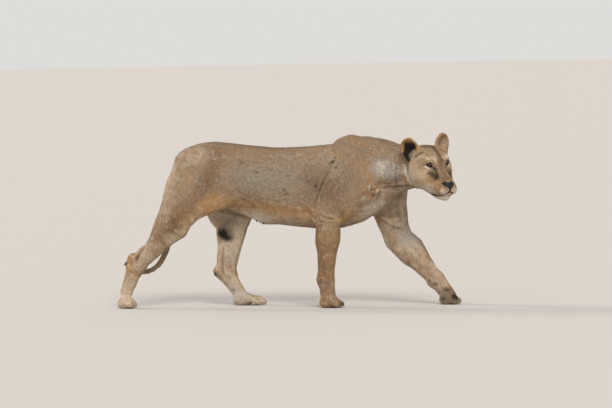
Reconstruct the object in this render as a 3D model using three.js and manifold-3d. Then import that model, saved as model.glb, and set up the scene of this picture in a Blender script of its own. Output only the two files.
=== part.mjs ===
// A walking lioness at life size, as a still museum model.
//
// Units are millimetres. +X points the way she walks, +Y to her left, +Z up, and the floor is Z = 0.
// Her body is one smooth field, which is negative inside: round bones, muscle ellipsoids and a trunk with
// measured stations, blended into each other. The field is meshed, thinned to a few thousand triangles,
// and parted by thin cuts into the parts that a person would name.
import * as THREE from "three";
import { mergeVertices } from "three/addons/utils/BufferGeometryUtils.js";
import Module from "manifold-3d";

const wasm = await Module();
wasm.setup();

// ---------------------------------------------------------------- driving dimensions

const RIGHT = -1; // the side of -Y
const LEFT = 1; // the side of +Y
const SIDE_NAME = { [RIGHT]: "right", [LEFT]: "left" };

const FEMUR = 345;
const TIBIA = 325;
const HIND_FOOT = 156; // ankle to the ball of the foot
const HEEL = 47; // how far the heel bone stands behind the ankle
const HUMERUS = 280;
const RADIUS = 310;
const HAND = 108; // wrist to the ball of the paw
const EYE_RADIUS = 18.5;
const EYE_SPREAD = 52; // from the middle of the face to the middle of an eye
const EYE_RISE = 5; // above the middle of the head's frame
const GAP = 0.3; // between two nodes that meet

// The trunk, from the rump forward: where it is along X, its back line, its underline and its half width.
const TRUNK = [
  { x: -735, top: 800, under: 720, half: 30 },
  { x: -690, top: 850, under: 660, half: 80 },
  { x: -600, top: 884, under: 596, half: 114 },
  { x: -490, top: 911, under: 556, half: 124 },
  { x: -330, top: 896, under: 532, half: 128 },
  { x: -170, top: 880, under: 458, half: 147 },
  { x: 0, top: 883, under: 433, half: 158 },
  { x: 130, top: 893, under: 422, half: 152 },
  { x: 250, top: 904, under: 440, half: 128 },
  { x: 350, top: 884, under: 496, half: 106 },
  { x: 430, top: 836, under: 560, half: 80 },
  { x: 480, top: 780, under: 630, half: 40 },
];

// ---------------------------------------------------------------- small helpers

const V = (x, y, z) => new THREE.Vector3(x, y, z);
const rad = THREE.MathUtils.degToRad;
const lerp = THREE.MathUtils.lerp;
const between = (a, b, t) => a.clone().lerp(b, t);
const moved = (p, x, y, z) => V(p.x + x, p.y + y, p.z + z);

/** The point a length away from start, at an angle above the horizon, in the plane of the stride. */
function along(start, length, degrees) {
  return moved(start, length * Math.cos(rad(degrees)), 0, length * Math.sin(rad(degrees)));
}

/** Where two bones from a and b meet. The joint stands towards +X of the line when forward is 1. */
function bendBetween(a, b, fromA, fromB, forward, y) {
  const dx = b.x - a.x;
  const dz = b.z - a.z;
  const reach = Math.hypot(dx, dz);
  const share = (fromA * fromA - fromB * fromB + reach * reach) / (2 * reach);
  const out = Math.sqrt(Math.max(fromA * fromA - share * share, 0)) * forward;
  return V(a.x + (dx * share - dz * out) / reach, y, a.z + (dz * share + dx * out) / reach);
}

// ---------------------------------------------------------------- the skeleton in its stride

/** A hind leg's joints. The toes reach on from the ball of the foot. */
function hindSkeleton(side, hip, ankle, footAngle, toes, muscle) {
  const knee = bendBetween(hip, ankle, FEMUR, TIBIA, 1, side * 122);
  const ball = along(ankle, HIND_FOOT, footAngle);
  const heel = along(ankle, HEEL, footAngle + 180 + 44);
  return { side, hip, knee, ankle, heel, ball, toes, ...muscle };
}

/** A foreleg's joints. The toes reach on from the ball of the paw. */
function foreSkeleton(side, blade, shoulder, wrist, handAngle, toes, muscle) {
  const elbow = bendBetween(shoulder, wrist, HUMERUS, RADIUS, -1, side * 126);
  const ball = along(wrist, HAND, handAngle);
  return { side, blade, shoulder, elbow, wrist, ball, toes, ...muscle };
}

const HIND = {
  [RIGHT]: hindSkeleton(RIGHT, V(-650, -84, 778), V(-949, -104, 235), -113, 58, {
    bulk: 1,
    behind: 98,
    shin: -12,
  }),
  [LEFT]: hindSkeleton(LEFT, V(-612, 84, 778), V(-489, 104, 178), -57, 140, {
    bulk: 1.16,
    behind: 112,
    shin: 10,
  }),
};
const FORE = {
  [RIGHT]: foreSkeleton(RIGHT, V(285, -58, 902), V(362, -122, 655), V(129, -104, 160), -84, 88, {
    bulk: 1,
    ahead: 2,
  }),
  [LEFT]: foreSkeleton(LEFT, V(352, 58, 876), V(478, 122, 640), V(700, 104, 138), -52, 72, {
    bulk: 1.18,
    ahead: 13,
  }),
};

// ---------------------------------------------------------------- pieces of the field

/** Smooth union of two distances, rounded over a length k. */
function soften(a, b, k) {
  const h = Math.max(k - Math.abs(a - b), 0) / k;
  return Math.min(a, b) - (h * h * k) / 4;
}

/** An ellipsoid turned by degrees about X, Y and Z: a muscle, a pad or a bump. */
function lump(centre, radii, turn = [0, 0, 0]) {
  const spin = new THREE.Euler(rad(turn[0]), rad(turn[1]), rad(turn[2]), "ZYX");
  const m = new THREE.Matrix4().makeRotationFromEuler(spin).elements;
  const [rx, ry, rz] = radii;
  const at = (x, y, z) => {
    const dx = x - centre.x;
    const dy = y - centre.y;
    const dz = z - centre.z;
    const u = m[0] * dx + m[1] * dy + m[2] * dz;
    const v = m[4] * dx + m[5] * dy + m[6] * dz;
    const w = m[8] * dx + m[9] * dy + m[10] * dz;
    const k0 = Math.hypot(u / rx, v / ry, w / rz);
    const k1 = Math.hypot(u / (rx * rx), v / (ry * ry), w / (rz * rz));
    return k1 < 1e-9 ? -Math.min(rx, ry, rz) : (k0 * (k0 - 1)) / k1;
  };
  return { at, centre, reach: Math.max(rx, ry, rz) };
}

/** A bone with its flesh: a cone with round ends, wide times as wide across the body as along it. */
function bone(a, b, ra, rb, wide = 1) {
  const length2 = (b.x - a.x) ** 2 + ((b.y - a.y) / wide) ** 2 + (b.z - a.z) ** 2;
  const scale = Math.min(1, wide) ** 0.5;
  const at = (x, y, z) => {
    const px = x - a.x;
    const py = (y - a.y) / wide;
    const pz = z - a.z;
    const rx = b.x - a.x;
    const ry = (b.y - a.y) / wide;
    const rz = b.z - a.z;
    const t = Math.min(1, Math.max(0, (px * rx + py * ry + pz * rz) / length2));
    return (Math.hypot(px - rx * t, py - ry * t, pz - rz * t) - lerp(ra, rb, t)) * scale;
  };
  const reach = a.distanceTo(b) / 2 + Math.max(ra, rb) * Math.max(1, wide);
  return { at, centre: between(a, b, 0.5), reach };
}

/** A smooth curve through the stations, for one of their values at x. */
function station(stations, key, x) {
  const last = stations.length - 1;
  let i = 0;
  while (i < last - 1 && x > stations[i + 1].x) i += 1;
  const [p0, p1, p2, p3] = [i - 1, i, i + 1, i + 2].map((j) => stations[THREE.MathUtils.clamp(j, 0, last)]);
  const span = p2.x - p1.x;
  const t = THREE.MathUtils.clamp((x - p1.x) / span, 0, 1);
  const m1 = ((p2[key] - p0[key]) / (p2.x - p0.x)) * span;
  const m2 = ((p3[key] - p1[key]) / (p3.x - p1.x)) * span;
  const rise = t * t * (3 - 2 * t);
  return lerp(p1[key], p2[key], rise) + (t ** 3 - 2 * t * t + t) * m1 + (t ** 3 - t * t) * m2;
}

/** The barrel of the trunk, with an egg-shaped section at each place along X. */
function barrel(stations) {
  const first = stations[0].x;
  const last = stations[stations.length - 1].x;
  const step = 4;
  const count = Math.ceil((last - first) / step);
  const rows = ["top", "under", "half"].map((key) =>
    Array.from({ length: count + 2 }, (_, i) => station(stations, key, first + i * step)),
  );
  const at = (x, y, z) => {
    const u = THREE.MathUtils.clamp((x - first) / step, 0, count);
    const i = Math.floor(u);
    const [top, under, half] = rows.map((row) => lerp(row[i], row[i + 1], u - i));
    const middle = lerp(under, top, 0.5);
    const tall = top - middle;
    const power = 2.3;
    const r = ((Math.abs(y) / half) ** power + (Math.abs(z - middle) / tall) ** power) ** (1 / power);
    const out = Math.hypot(y, z - middle);
    const side = r < 1e-6 ? -Math.min(half, tall) : out - out / r;
    const beyond = Math.max(first - x, x - last);
    return beyond > 0 ? Math.hypot(Math.max(side, 0), beyond) : side;
  };
  return { at, centre: V((first + last) / 2, 0, 680), reach: 760 };
}

/** Pieces blended into one, each given as [piece, the length it blends over]. */
function flesh(list) {
  const centre = new THREE.Box3().setFromPoints(list.map(([p]) => p.centre)).getCenter(V(0, 0, 0));
  const reach = Math.max(...list.map(([p, k]) => p.centre.distanceTo(centre) + p.reach + k));
  const at = (x, y, z) => {
    let d = 1e4;
    for (const [p, k] of list) {
      const least = Math.hypot(x - p.centre.x, y - p.centre.y, z - p.centre.z) - p.reach;
      if (least < d + k) d = soften(d, p.at(x, y, z), k);
    }
    return d;
  };
  return { at, centre, reach };
}

/** A piece with hollows smoothly cut out of it, each given as [hollow, the length it blends over]. */
function hollowed(piece, list) {
  const at = (x, y, z) => list.reduce((d, [h, k]) => -soften(-d, h.at(x, y, z), k), piece.at(x, y, z));
  return { at, centre: piece.centre, reach: piece.reach };
}

/** A piece made in a frame of its own, put in its place by a matrix that turns and moves it. */
function placed(piece, matrix) {
  const back = matrix.clone().invert().elements;
  const at = (x, y, z) =>
    piece.at(
      back[0] * x + back[4] * y + back[8] * z + back[12],
      back[1] * x + back[5] * y + back[9] * z + back[13],
      back[2] * x + back[6] * y + back[10] * z + back[14],
    );
  return { at, centre: piece.centre.clone().applyMatrix4(matrix), reach: piece.reach };
}

// ---------------------------------------------------------------- limbs

/** A hind leg down to the ball of its foot. */
function hindLeg({ side, hip, knee, ankle, heel, ball, bulk, behind, shin }) {
  const seat = V(hip.x - 42, side * 56, hip.z - 30);
  const fold = V(hip.x + 250, side * 92, 600);
  const backOfKnee = moved(between(knee, ankle, 0.06), -behind, -side * 6, 10);
  const calf = moved(between(knee, ankle, 0.3), -behind * 0.5, 0, 0);
  const achilles = moved(between(knee, ankle, 0.66), -behind * 0.38, 0, -8);
  const flank = moved(between(hip, fold, 0.55), 20, 0, -40);
  return flesh([
    [bone(moved(hip, 14, 0, 16), moved(knee, -20, 0, 12), 88, 54 * bulk, 0.72), 30],
    [bone(seat, backOfKnee, 48, 46 * bulk, 0.74), 50],
    [bone(moved(hip, 92, side * 14, -16), moved(knee, 4 + shin, 0, 14), 54, 42 * bulk, 0.7), 45],
    [bone(moved(knee, 40 + shin, side * 2, 56), fold, 34, 26, 0.7), 60],
    [lump(flank, [84, 40, 84]), 60],
    [lump(moved(between(hip, knee, 0.42), -16, side * 12, 0), [82, 54, 128]), 45],
    [bone(moved(knee, shin, 0, 0), moved(ankle, 6, 0, 6), 50 * bulk, 44, 0.76), 30],
    [bone(calf, achilles, 44 * bulk, 28 * bulk, 0.78), 36],
    [bone(achilles, heel, 26 * bulk, 21, 0.85), 30],
    [bone(heel, moved(ankle, 6, 0, -2), 24, 46, 0.8), 22],
    [bone(ankle, ball, 44, 36, 0.86), 26],
    [bone(heel, between(ankle, ball, 0.6), 22, 28, 0.9), 26],
  ]);
}

/** A foreleg from the shoulder blade to the ball of its paw. */
function foreLeg({ side, blade, shoulder, elbow, wrist, ball, bulk, ahead }) {
  const point = moved(elbow, -42, 0, 30);
  const armpit = moved(between(blade, elbow, 0.62), -26, 0, 0);
  const swell = moved(between(elbow, wrist, 0.3), ahead, 0, 0);
  return flesh([
    [bone(blade, moved(shoulder, -22, 0, 10), 42, 78, 0.62), 30],
    [lump(moved(between(blade, shoulder, 0.1), -44, 0, 10), [64, 32, 44], [0, 12, 0]), 40],
    [lump(between(blade, shoulder, 0.6), [96, 50, 130], [0, -16, 0]), 50],
    [bone(moved(shoulder, -6, 0, -4), elbow, 68, 58 * bulk, 0.72), 40],
    [bone(armpit, moved(point, 10, 0, 20), 74, 46 * bulk, 0.66), 50],
    [bone(point, elbow, 28, 48 * bulk, 0.86), 26],
    [bone(moved(elbow, ahead, 0, -6), swell, 62 * bulk, 63 * bulk, 0.8), 30],
    [bone(moved(between(elbow, wrist, 0.25), ahead, 0, 0), wrist, 63 * bulk, 46, 0.86), 36],
    [bone(wrist, ball, 46, 42, 0.98), 24],
    [lump(moved(wrist, -24, 0, -16), [24, 24, 24]), 20],
  ]);
}

/** A paw: a broad pad under four toes that fan out, the middle two further forward. */
function paw({ side, ball, toes }, width) {
  const pieces = [
    [lump(V(ball.x - 4, ball.y, 24), [48, width * 0.44, 32]), 26],
    [bone(V(ball.x - 8, ball.y, 30), V(ball.x + toes * 0.3, ball.y, 30), 30, 28, 1.4), 20],
  ];
  for (let toe = 0; toe < 4; toe += 1) {
    const across = (toe - 1.5) / 1.5;
    const reach = toes * (Math.abs(across) > 0.5 ? 0.8 : 1) - 16;
    const y = ball.y + across * width * 0.36;
    const root = V(ball.x - 6, lerp(ball.y, y, 0.7), Math.min(ball.z, 52));
    const knuckle = V(ball.x + reach - 30, y, 34);
    const tip = V(ball.x + reach, y - side * across * 2, 18);
    pieces.push([bone(root, knuckle, 24, 18, 0.95), 12]);
    pieces.push([bone(knuckle, tip, 18.5, 16, 0.95), 7]);
  }
  return flesh(pieces);
}

// ---------------------------------------------------------------- neck and head

const HEAD = {
  middle: V(786, -182, 780), // between the eyes
  turn: -46, // degrees to her left
  nod: 17, // degrees, nose down
  tilt: 5, // degrees, left side up
};

/** The head's own frame, in which +X runs out of the face, +Y to her left and +Z up. */
function headFrame() {
  const spin = new THREE.Euler(rad(HEAD.tilt), rad(HEAD.nod), rad(HEAD.turn), "ZYX");
  return new THREE.Matrix4().makeRotationFromEuler(spin).setPosition(HEAD.middle);
}

const FACE = headFrame();
const inHead = (x, y, z) => V(x, y, z).applyMatrix4(FACE);

/** The same piece on both sides of the face. */
const both = (make, k) => [[make(LEFT), k], [make(RIGHT), k]];

/** The face and skull, in the head's own frame. */
function skull() {
  const solid = flesh([
    [lump(V(-106, 0, -8), [108, 92, 71]), 20],
    [lump(V(-44, 0, 2), [72, 66, 50], [0, 14, 0]), 34],
    ...both((s) => lump(V(-112, s * 48, 22), [50, 44, 38], [s * 10, 12, 0]), 22),
    ...both((s) => lump(V(-112, s * 80, 0), [46, 30, 44]), 22),
    [bone(V(-8, 0, -14), V(112, 0, -80), 43, 30, 0.98), 26],
    [bone(V(0, 0, -74), V(98, 0, -108), 60, 40, 1.05), 26],
    ...both((s) => lump(V(99, s * 30, -107), [39, 31, 34], [0, 16, s * 8]), 14),
    ...both((s) => bone(V(-40, s * 55, -74), V(66, s * 31, -96), 44, 34), 30),
    ...both((s) => bone(V(-84, s * 52, -104), V(62, s * 18, -146), 44, 29), 26),
    [lump(V(88, 0, -148), [34, 32, 27]), 16],
    ...both((s) => lump(V(-70, s * 62, -46), [78, 48, 74], [0, 10, s * 8]), 34),
    ...both((s) => lump(V(-4, s * 46, 24), [32, 29, 15], [s * 20, 24, s * 20]), 18),
    ...both((s) => lump(V(26, s * 46, -46), [42, 22, 26], [0, 28, -s * 22]), 24),
    ...both((s) => lump(V(-118, s * 60, -88), [66, 50, 76]), 40),
    [lump(V(122, 0, -80), [16, 35, 20], [0, -14, 0]), 8],
  ]);
  return hollowed(solid, [
    ...both((s) => lump(V(19, s * 60, 3), [17, 22, 13], [s * 26, 0, s * 26]), 12),
    ...both((s) => lump(V(34, s * 35, -11), [9, 14, 6], [s * 34, 0, s * 40]), 10),
  ]);
}

/** Where an ear sits in the head's own frame: its foot, and how it is turned and leant. */
const EARS = {
  [RIGHT]: { foot: V(-110, -90, 14), turn: -48, lean: 32 },
  [LEFT]: { foot: V(-116, 92, 12), turn: 20, lean: 14 },
};

/** An ear: a round cup of skin, open to the front, in a frame with its foot at the origin and +Z up it. */
function ear(side) {
  const { foot, turn, lean } = EARS[side];
  const cup = flesh([
    [lump(V(-6, 0, 52), [28, 52, 58]), 1],
    [lump(V(-8, 0, -1), [31, 44, 38]), 20],
  ]);
  const open = hollowed(cup, [[lump(V(18, 0, 54), [40, 45, 51]), 5]]);
  const spin = new THREE.Euler(rad(-side * lean), rad(-8), rad(turn), "ZYX");
  const seat = new THREE.Matrix4().makeRotationFromEuler(spin).setPosition(foot);
  return placed(open, FACE.clone().multiply(seat));
}

/** The neck, from the withers and the chest to the back of the skull. */
function neck() {
  const nape = inHead(-140, 0, -10);
  const throat = inHead(-90, 0, -96);
  return flesh([
    [bone(V(330, 0, 806), V(500, -18, 790), 106, 92, 1), 40],
    [bone(V(500, -18, 790), nape, 90, 74, 1), 50],
    [bone(V(400, 0, 690), V(540, -40, 724), 100, 82, 0.95), 50],
    [bone(V(540, -40, 724), throat, 82, 64, 1), 50],
  ]);
}

// ---------------------------------------------------------------- tail

// The line of the tail from its root to its tip, drooping between the thighs and curling up behind the hock.
const TAIL_LINE = new THREE.CatmullRomCurve3([
  V(-648, 0, 835),
  V(-690, 0, 788),
  V(-716, 0, 700),
  V(-740, 0, 600),
  V(-760, -4, 500),
  V(-776, -8, 400),
  V(-802, -14, 306),
  V(-850, -18, 230),
  V(-914, -20, 198),
  V(-976, -22, 210),
  V(-1018, -24, 252),
]);
const TAIL_ROOT_RADIUS = 30;
const TAIL_END_RADIUS = 13;
const TUFT_RADIUS = 22;

/** The tail as a chain of short cones between two shares of its line, with the tuft at its end. */
function tail(from, to) {
  const count = 24;
  const radius = (t) => lerp(TAIL_ROOT_RADIUS, TAIL_END_RADIUS, t ** 0.7);
  const links = [];
  for (let i = 0; i < count; i += 1) {
    const t0 = lerp(from, to, i / count);
    const t1 = lerp(from, to, (i + 1) / count);
    const link = bone(TAIL_LINE.getPointAt(t0), TAIL_LINE.getPointAt(t1), radius(t0), radius(t1));
    links.push([link, 4]);
  }
  const tuft = bone(TAIL_LINE.getPointAt(0.9), TAIL_LINE.getPointAt(0.98), TUFT_RADIUS, TUFT_RADIUS * 0.6);
  return flesh(to === 1 ? [...links, [tuft, 14]] : links);
}

// ---------------------------------------------------------------- from field to surface

const CUBE = 8; // grid steps along a block that is skipped when the surface is far from it

/** The field's values at the points of a grid of the given step, filled in block by block. */
function sampled(field, box, step) {
  const size = box.getSize(V(0, 0, 0));
  const [nx, ny, nz] = [size.x, size.y, size.z].map((s) => CUBE * Math.ceil(s / step / CUBE) + 1);
  const values = new Float32Array(nx * ny * nz).fill(1);
  const half = (CUBE * step) / 2;
  for (let bx = 0; bx < nx - 1; bx += CUBE) {
    for (let by = 0; by < ny - 1; by += CUBE) {
      for (let bz = 0; bz < nz - 1; bz += CUBE) {
        const middle = [bx, by, bz].map((b) => b * step + half);
        const far = field.at(box.min.x + middle[0], box.min.y + middle[1], box.min.z + middle[2]);
        const skip = Math.abs(far) > half * 3;
        for (let i = bx; i <= bx + CUBE; i += 1) {
          for (let j = by; j <= by + CUBE; j += 1) {
            for (let k = bz; k <= bz + CUBE; k += 1) {
              const n = (i * ny + j) * nz + k;
              const value = () => field.at(box.min.x + i * step, box.min.y + j * step, box.min.z + k * step);
              values[n] = skip ? Math.sign(far) : value();
            }
          }
        }
      }
    }
  }
  return { values, nx, ny, nz };
}

// The six tetrahedra of a grid cube, each as the order in which its corners step along X, Y and Z.
const STEPS = [[0, 1, 2], [1, 2, 0], [2, 0, 1], [0, 2, 1], [2, 1, 0], [1, 0, 2]];

/** The surface where the field is zero, as points and triangles, by marching tetrahedra. */
function skinOf(field, box, step) {
  const { values, nx, ny, nz } = sampled(field, box, step);
  const points = [];
  const triangles = [];
  const known = new Map();
  const stride = [ny * nz, nz, 1];
  const place = (n) => [Math.floor(n / stride[0]), Math.floor(n / nz) % ny, n % nz];
  const crossing = (a, b) => {
    const key = Math.min(a, b) * 8 * stride[0] + Math.abs(a - b);
    if (known.has(key)) return known.get(key);
    const t = THREE.MathUtils.clamp(values[a] / (values[a] - values[b]), 0.02, 0.98);
    const from = place(a);
    const to = place(b);
    points.push(from.map((f, axis) => box.min.getComponent(axis) + step * lerp(f, to[axis], t)));
    known.set(key, points.length - 1);
    return points.length - 1;
  };
  const tetrahedron = (corners) => {
    const inside = corners.filter((c) => values[c] < 0);
    const outside = corners.filter((c) => values[c] >= 0);
    if (inside.length === 0 || outside.length === 0) return;
    const ring = inside.flatMap((a) => outside.map((b) => crossing(a, b)));
    if (ring.length === 4) [ring[2], ring[3]] = [ring[3], ring[2]];
    const [p, q, r] = ring.slice(0, 3).map((i) => V(...points[i]));
    const outward = V(...place(outside[0])).sub(V(...place(inside[0])));
    const faces = q.sub(p).cross(r.sub(p)).dot(outward) > 0;
    for (let i = 2; i < ring.length; i += 1) {
      triangles.push(faces ? [ring[0], ring[i - 1], ring[i]] : [ring[0], ring[i], ring[i - 1]]);
    }
  };
  for (let i = 0; i < nx - 1; i += 1) {
    for (let j = 0; j < ny - 1; j += 1) {
      for (let k = 0; k < nz - 1; k += 1) {
        const corner = (i * ny + j) * nz + k;
        const opposite = corner + stride[0] + stride[1] + stride[2];
        let mixed = false;
        const sign = values[corner] < 0;
        for (let c = 1; c < 8 && !mixed; c += 1) {
          const n = corner + (c & 4 ? stride[0] : 0) + (c & 2 ? stride[1] : 0) + (c & 1);
          mixed = values[n] < 0 !== sign;
        }
        if (!mixed) continue;
        for (const [a, b] of STEPS) {
          tetrahedron([corner, corner + stride[a], corner + stride[a] + stride[b], opposite]);
        }
      }
    }
  }
  return { points, triangles };
}

/** Slides the points over the surface until they are evenly spaced, keeping them where the field is zero. */
function settled({ points, triangles }, field, rounds) {
  const reach = 1;
  const next = points.map(() => new Set());
  for (const [a, b, c] of triangles) {
    next[a].add(b);
    next[b].add(c);
    next[c].add(a);
  }
  let now = points;
  for (let round = 0; round < rounds; round += 1) {
    now = now.map((_, i) => {
      const sum = [0, 0, 0];
      for (const j of next[i]) {
        for (let axis = 0; axis < 3; axis += 1) sum[axis] += now[j][axis] / next[i].size;
      }
      const d = field.at(...sum);
      const slope = [0, 1, 2].map((axis) => {
        const step = [...sum];
        step[axis] += reach;
        return (field.at(...step) - d) / reach;
      });
      const steep = Math.max(slope[0] ** 2 + slope[1] ** 2 + slope[2] ** 2, 0.1);
      return sum.map((value, axis) => value - (d * slope[axis]) / steep);
    });
  }
  return { points: now, triangles };
}

// ---------------------------------------------------------------- thinning

/** A list that always gives back its smallest entry first. Each entry is an array led by its cost. */
class Heap {
  entries = [];
  push(entry) {
    const list = this.entries;
    let i = list.length;
    list.push(entry);
    while (i > 0 && list[(i - 1) >> 1][0] > entry[0]) {
      list[i] = list[(i - 1) >> 1];
      i = (i - 1) >> 1;
    }
    list[i] = entry;
  }
  pop() {
    const list = this.entries;
    const first = list[0];
    const entry = list.pop();
    if (list.length === 0) return first;
    let i = 0;
    for (;;) {
      let child = 2 * i + 1;
      if (child >= list.length) break;
      if (child + 1 < list.length && list[child + 1][0] < list[child][0]) child += 1;
      if (list[child][0] >= entry[0]) break;
      list[i] = list[child];
      i = child;
    }
    list[i] = entry;
    return first;
  }
}

/** The triangle's normal, as long as twice its area. */
function normalOf(p, q, r) {
  const u = [q[0] - p[0], q[1] - p[1], q[2] - p[2]];
  const v = [r[0] - p[0], r[1] - p[1], r[2] - p[2]];
  return [u[1] * v[2] - u[2] * v[1], u[2] * v[0] - u[0] * v[2], u[0] * v[1] - u[1] * v[0]];
}

const dot = (a, b) => a[0] * b[0] + a[1] * b[1] + a[2] * b[2];

// The ten numbers of a quadric are the upper half of a symmetric 4 by 4 matrix, row by row.
const quadricOf = ([x, y, z, w]) => [x * x, x * y, x * z, x * w, y * y, y * z, y * w, z * z, z * w, w * w];

/** The sum of squared distances from a point to the planes behind a quadric. */
function strain(q, [x, y, z]) {
  const squares = q[0] * x * x + q[4] * y * y + q[7] * z * z + q[9];
  return squares + 2 * (q[1] * x * y + q[2] * x * z + q[3] * x + q[5] * y * z + q[6] * y + q[8] * z);
}

/** The point of least strain, or null where the planes are too nearly parallel. */
function calmest(q) {
  const m = new THREE.Matrix3().set(q[0], q[1], q[2], q[1], q[4], q[5], q[2], q[5], q[7]);
  const size = q[0] + q[4] + q[7];
  if (Math.abs(m.determinant()) < 1e-4 * size ** 3) return null;
  return V(-q[3], -q[6], -q[8]).applyMatrix3(m.invert()).toArray();
}

/** Thins a closed surface to a number of triangles, by merging the pairs of points that matter least. */
function thinned(surface, wanted) {
  const points = surface.points.map((p) => [...p]);
  const triangles = surface.triangles.map((t) => [...t]);
  const around = points.map(() => new Set());
  const quadrics = points.map(() => new Array(10).fill(0));
  const versions = new Int32Array(points.length);
  const evenness = 2e-4;
  triangles.forEach((t, index) => {
    const normal = normalOf(...t.map((i) => points[i]));
    const size = Math.hypot(...normal) || 1e-9;
    const unit = normal.map((n) => n / size);
    const plane = quadricOf([...unit, -dot(unit, points[t[0]])]);
    for (const i of t) {
      around[i].add(index);
      for (let k = 0; k < 10; k += 1) quadrics[i][k] += plane[k] * size;
    }
  });
  const heap = new Heap();
  const offer = (a, b) => {
    const q = quadrics[a].map((value, k) => value + quadrics[b][k]);
    const [p, r] = [points[a], points[b]];
    const length = Math.hypot(p[0] - r[0], p[1] - r[1], p[2] - r[2]);
    const middle = p.map((value, k) => (value + r[k]) / 2);
    const best = calmest(q);
    const near = best && Math.hypot(...best.map((value, k) => value - middle[k])) < length * 1.5;
    const spot = near ? best : middle;
    const cost = Math.max(strain(q, spot), 0) + evenness * length ** 4;
    heap.push([cost, a, b, versions[a], versions[b], spot]);
  };
  const neighbours = (a) => {
    const set = new Set();
    for (const t of around[a]) for (const i of triangles[t]) if (i !== a) set.add(i);
    return set;
  };
  const keepsFacing = (a, b, spot) => {
    for (const t of around[a]) {
      const corners = triangles[t];
      if (corners.includes(b)) continue;
      const before = normalOf(...corners.map((i) => points[i]));
      const after = normalOf(...corners.map((i) => (i === a ? spot : points[i])));
      if (dot(before, after) < 0.25 * Math.hypot(...before) * Math.hypot(...after)) return false;
      if (Math.hypot(...after) < 1e-3) return false;
    }
    return true;
  };
  points.forEach((_, a) => neighbours(a).forEach((b) => a < b && offer(a, b)));
  let count = triangles.length;
  while (count > wanted && heap.entries.length > 0) {
    const [, a, b, versionA, versionB, spot] = heap.pop();
    if (versions[a] !== versionA || versions[b] !== versionB) continue;
    const beside = neighbours(b);
    const shared = [...neighbours(a)].filter((i) => beside.has(i));
    if (shared.length !== 2 || !keepsFacing(a, b, spot) || !keepsFacing(b, a, spot)) continue;
    for (const t of [...around[b]]) {
      if (triangles[t].includes(a)) {
        for (const i of triangles[t]) around[i].delete(t);
        triangles[t] = null;
        count -= 1;
      } else {
        triangles[t] = triangles[t].map((i) => (i === b ? a : i));
        around[a].add(t);
      }
    }
    around[b].clear();
    points[a] = spot;
    quadrics[a] = quadrics[a].map((value, k) => value + quadrics[b][k]);
    versions[a] += 1;
    versions[b] = -1;
    for (const i of neighbours(a)) offer(a, i);
  }
  return { points, triangles: triangles.filter(Boolean) };
}

// ---------------------------------------------------------------- solids and cuts

/** A closed surface as a solid that can be cut. */
function solidOf({ points, triangles }) {
  const order = new Map();
  for (const i of triangles.flat()) if (!order.has(i)) order.set(i, order.size);
  const vertProperties = Float32Array.from([...order.keys()].flatMap((i) => points[i]));
  const triVerts = Uint32Array.from(triangles.flat().map((i) => order.get(i)));
  return new wasm.Manifold(new wasm.Mesh({ numProp: 3, vertProperties, triVerts }));
}

/** A three.js geometry as a solid, once it is turned and moved by a matrix. */
function solidFrom(geometry, matrix = new THREE.Matrix4()) {
  const bare = geometry.clone().applyMatrix4(matrix);
  bare.deleteAttribute("normal");
  bare.deleteAttribute("uv");
  const whole = mergeVertices(bare, 1e-4);
  const vertProperties = new Float32Array(whole.attributes.position.array);
  const triVerts = new Uint32Array(whole.index.array);
  return new wasm.Manifold(new wasm.Mesh({ numProp: 3, vertProperties, triVerts }));
}

/** A field's piece inside a box as a solid, meshed with a grid step and thinned to a number of triangles. */
function modelled(field, box, { step, triangles }) {
  const middle = box.getCenter(V(0, 0, 0));
  const half = box.getSize(V(0, 0, 0)).multiplyScalar(0.5).subScalar(step * 1.5);
  const at = (x, y, z) => {
    const walls = [Math.abs(x - middle.x) - half.x, Math.abs(y - middle.y) - half.y];
    return Math.max(field.at(x, y, z), ...walls, Math.abs(z - middle.z) - half.z);
  };
  const boxed = { at };
  return solidOf(thinned(settled(skinOf(boxed, box, step), boxed, 2), triangles));
}

const FAR = 4000; // longer than anything here

/** Everything beyond a plane through a point, on the side that the direction points to. */
function beyond(point, direction, shift = 0) {
  const facing = direction.clone().normalize();
  const turn = new THREE.Quaternion().setFromUnitVectors(V(1, 0, 0), facing);
  const middle = point.clone().addScaledVector(facing, FAR / 2 + shift);
  const place = new THREE.Matrix4().compose(middle, turn, V(1, 1, 1));
  return solidFrom(new THREE.BoxGeometry(FAR, FAR, FAR), place);
}

/** Parts a solid at a plane. Gives the part beyond it, and the part before it. */
function parted(solid, { point, facing }) {
  const back = facing.clone().negate();
  return [solid.intersect(beyond(point, facing, GAP / 2)), solid.intersect(beyond(point, back, GAP / 2))];
}

/** An outline in a plane, made into a bar as long as depth along the plane's normal. */
function prism(outline, depth, matrix) {
  const shape = new THREE.Shape(outline.map(([u, v]) => new THREE.Vector2(u, v)));
  return solidFrom(new THREE.ExtrudeGeometry(shape, { depth, bevelEnabled: false }), matrix);
}

/** A bar whose side view is an outline in X and Z, reaching outwards from y on one side of her. */
function sideBar(outline, side, y) {
  const stand = new THREE.Matrix4().makeRotationX(Math.PI / 2);
  const start = side > 0 ? y + FAR : -y;
  return prism(outline, FAR, new THREE.Matrix4().makeTranslation(0, start, 0).multiply(stand));
}

/** An outline grown outwards by a small distance. */
function swollen(outline, grow) {
  const area = outline.reduce((sum, [x, z], i) => {
    const [x1, z1] = outline[(i + 1) % outline.length];
    return sum + (x * z1 - x1 * z) / 2;
  }, 0);
  const n = outline.length;
  return outline.map(([x, z], i) => {
    const [ax, az] = outline[(i + n - 1) % n];
    const [bx, bz] = outline[(i + 1) % n];
    const length = Math.hypot(bx - ax, bz - az) * Math.sign(area);
    return [x + ((bz - az) / length) * grow * 1.2, z - ((bx - ax) / length) * grow * 1.2];
  });
}

// ---------------------------------------------------------------- the whole body

const SIDES = [RIGHT, LEFT];
const FOREPAW_WIDTH = 108;
const HINDPAW_WIDTH = 97;

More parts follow.
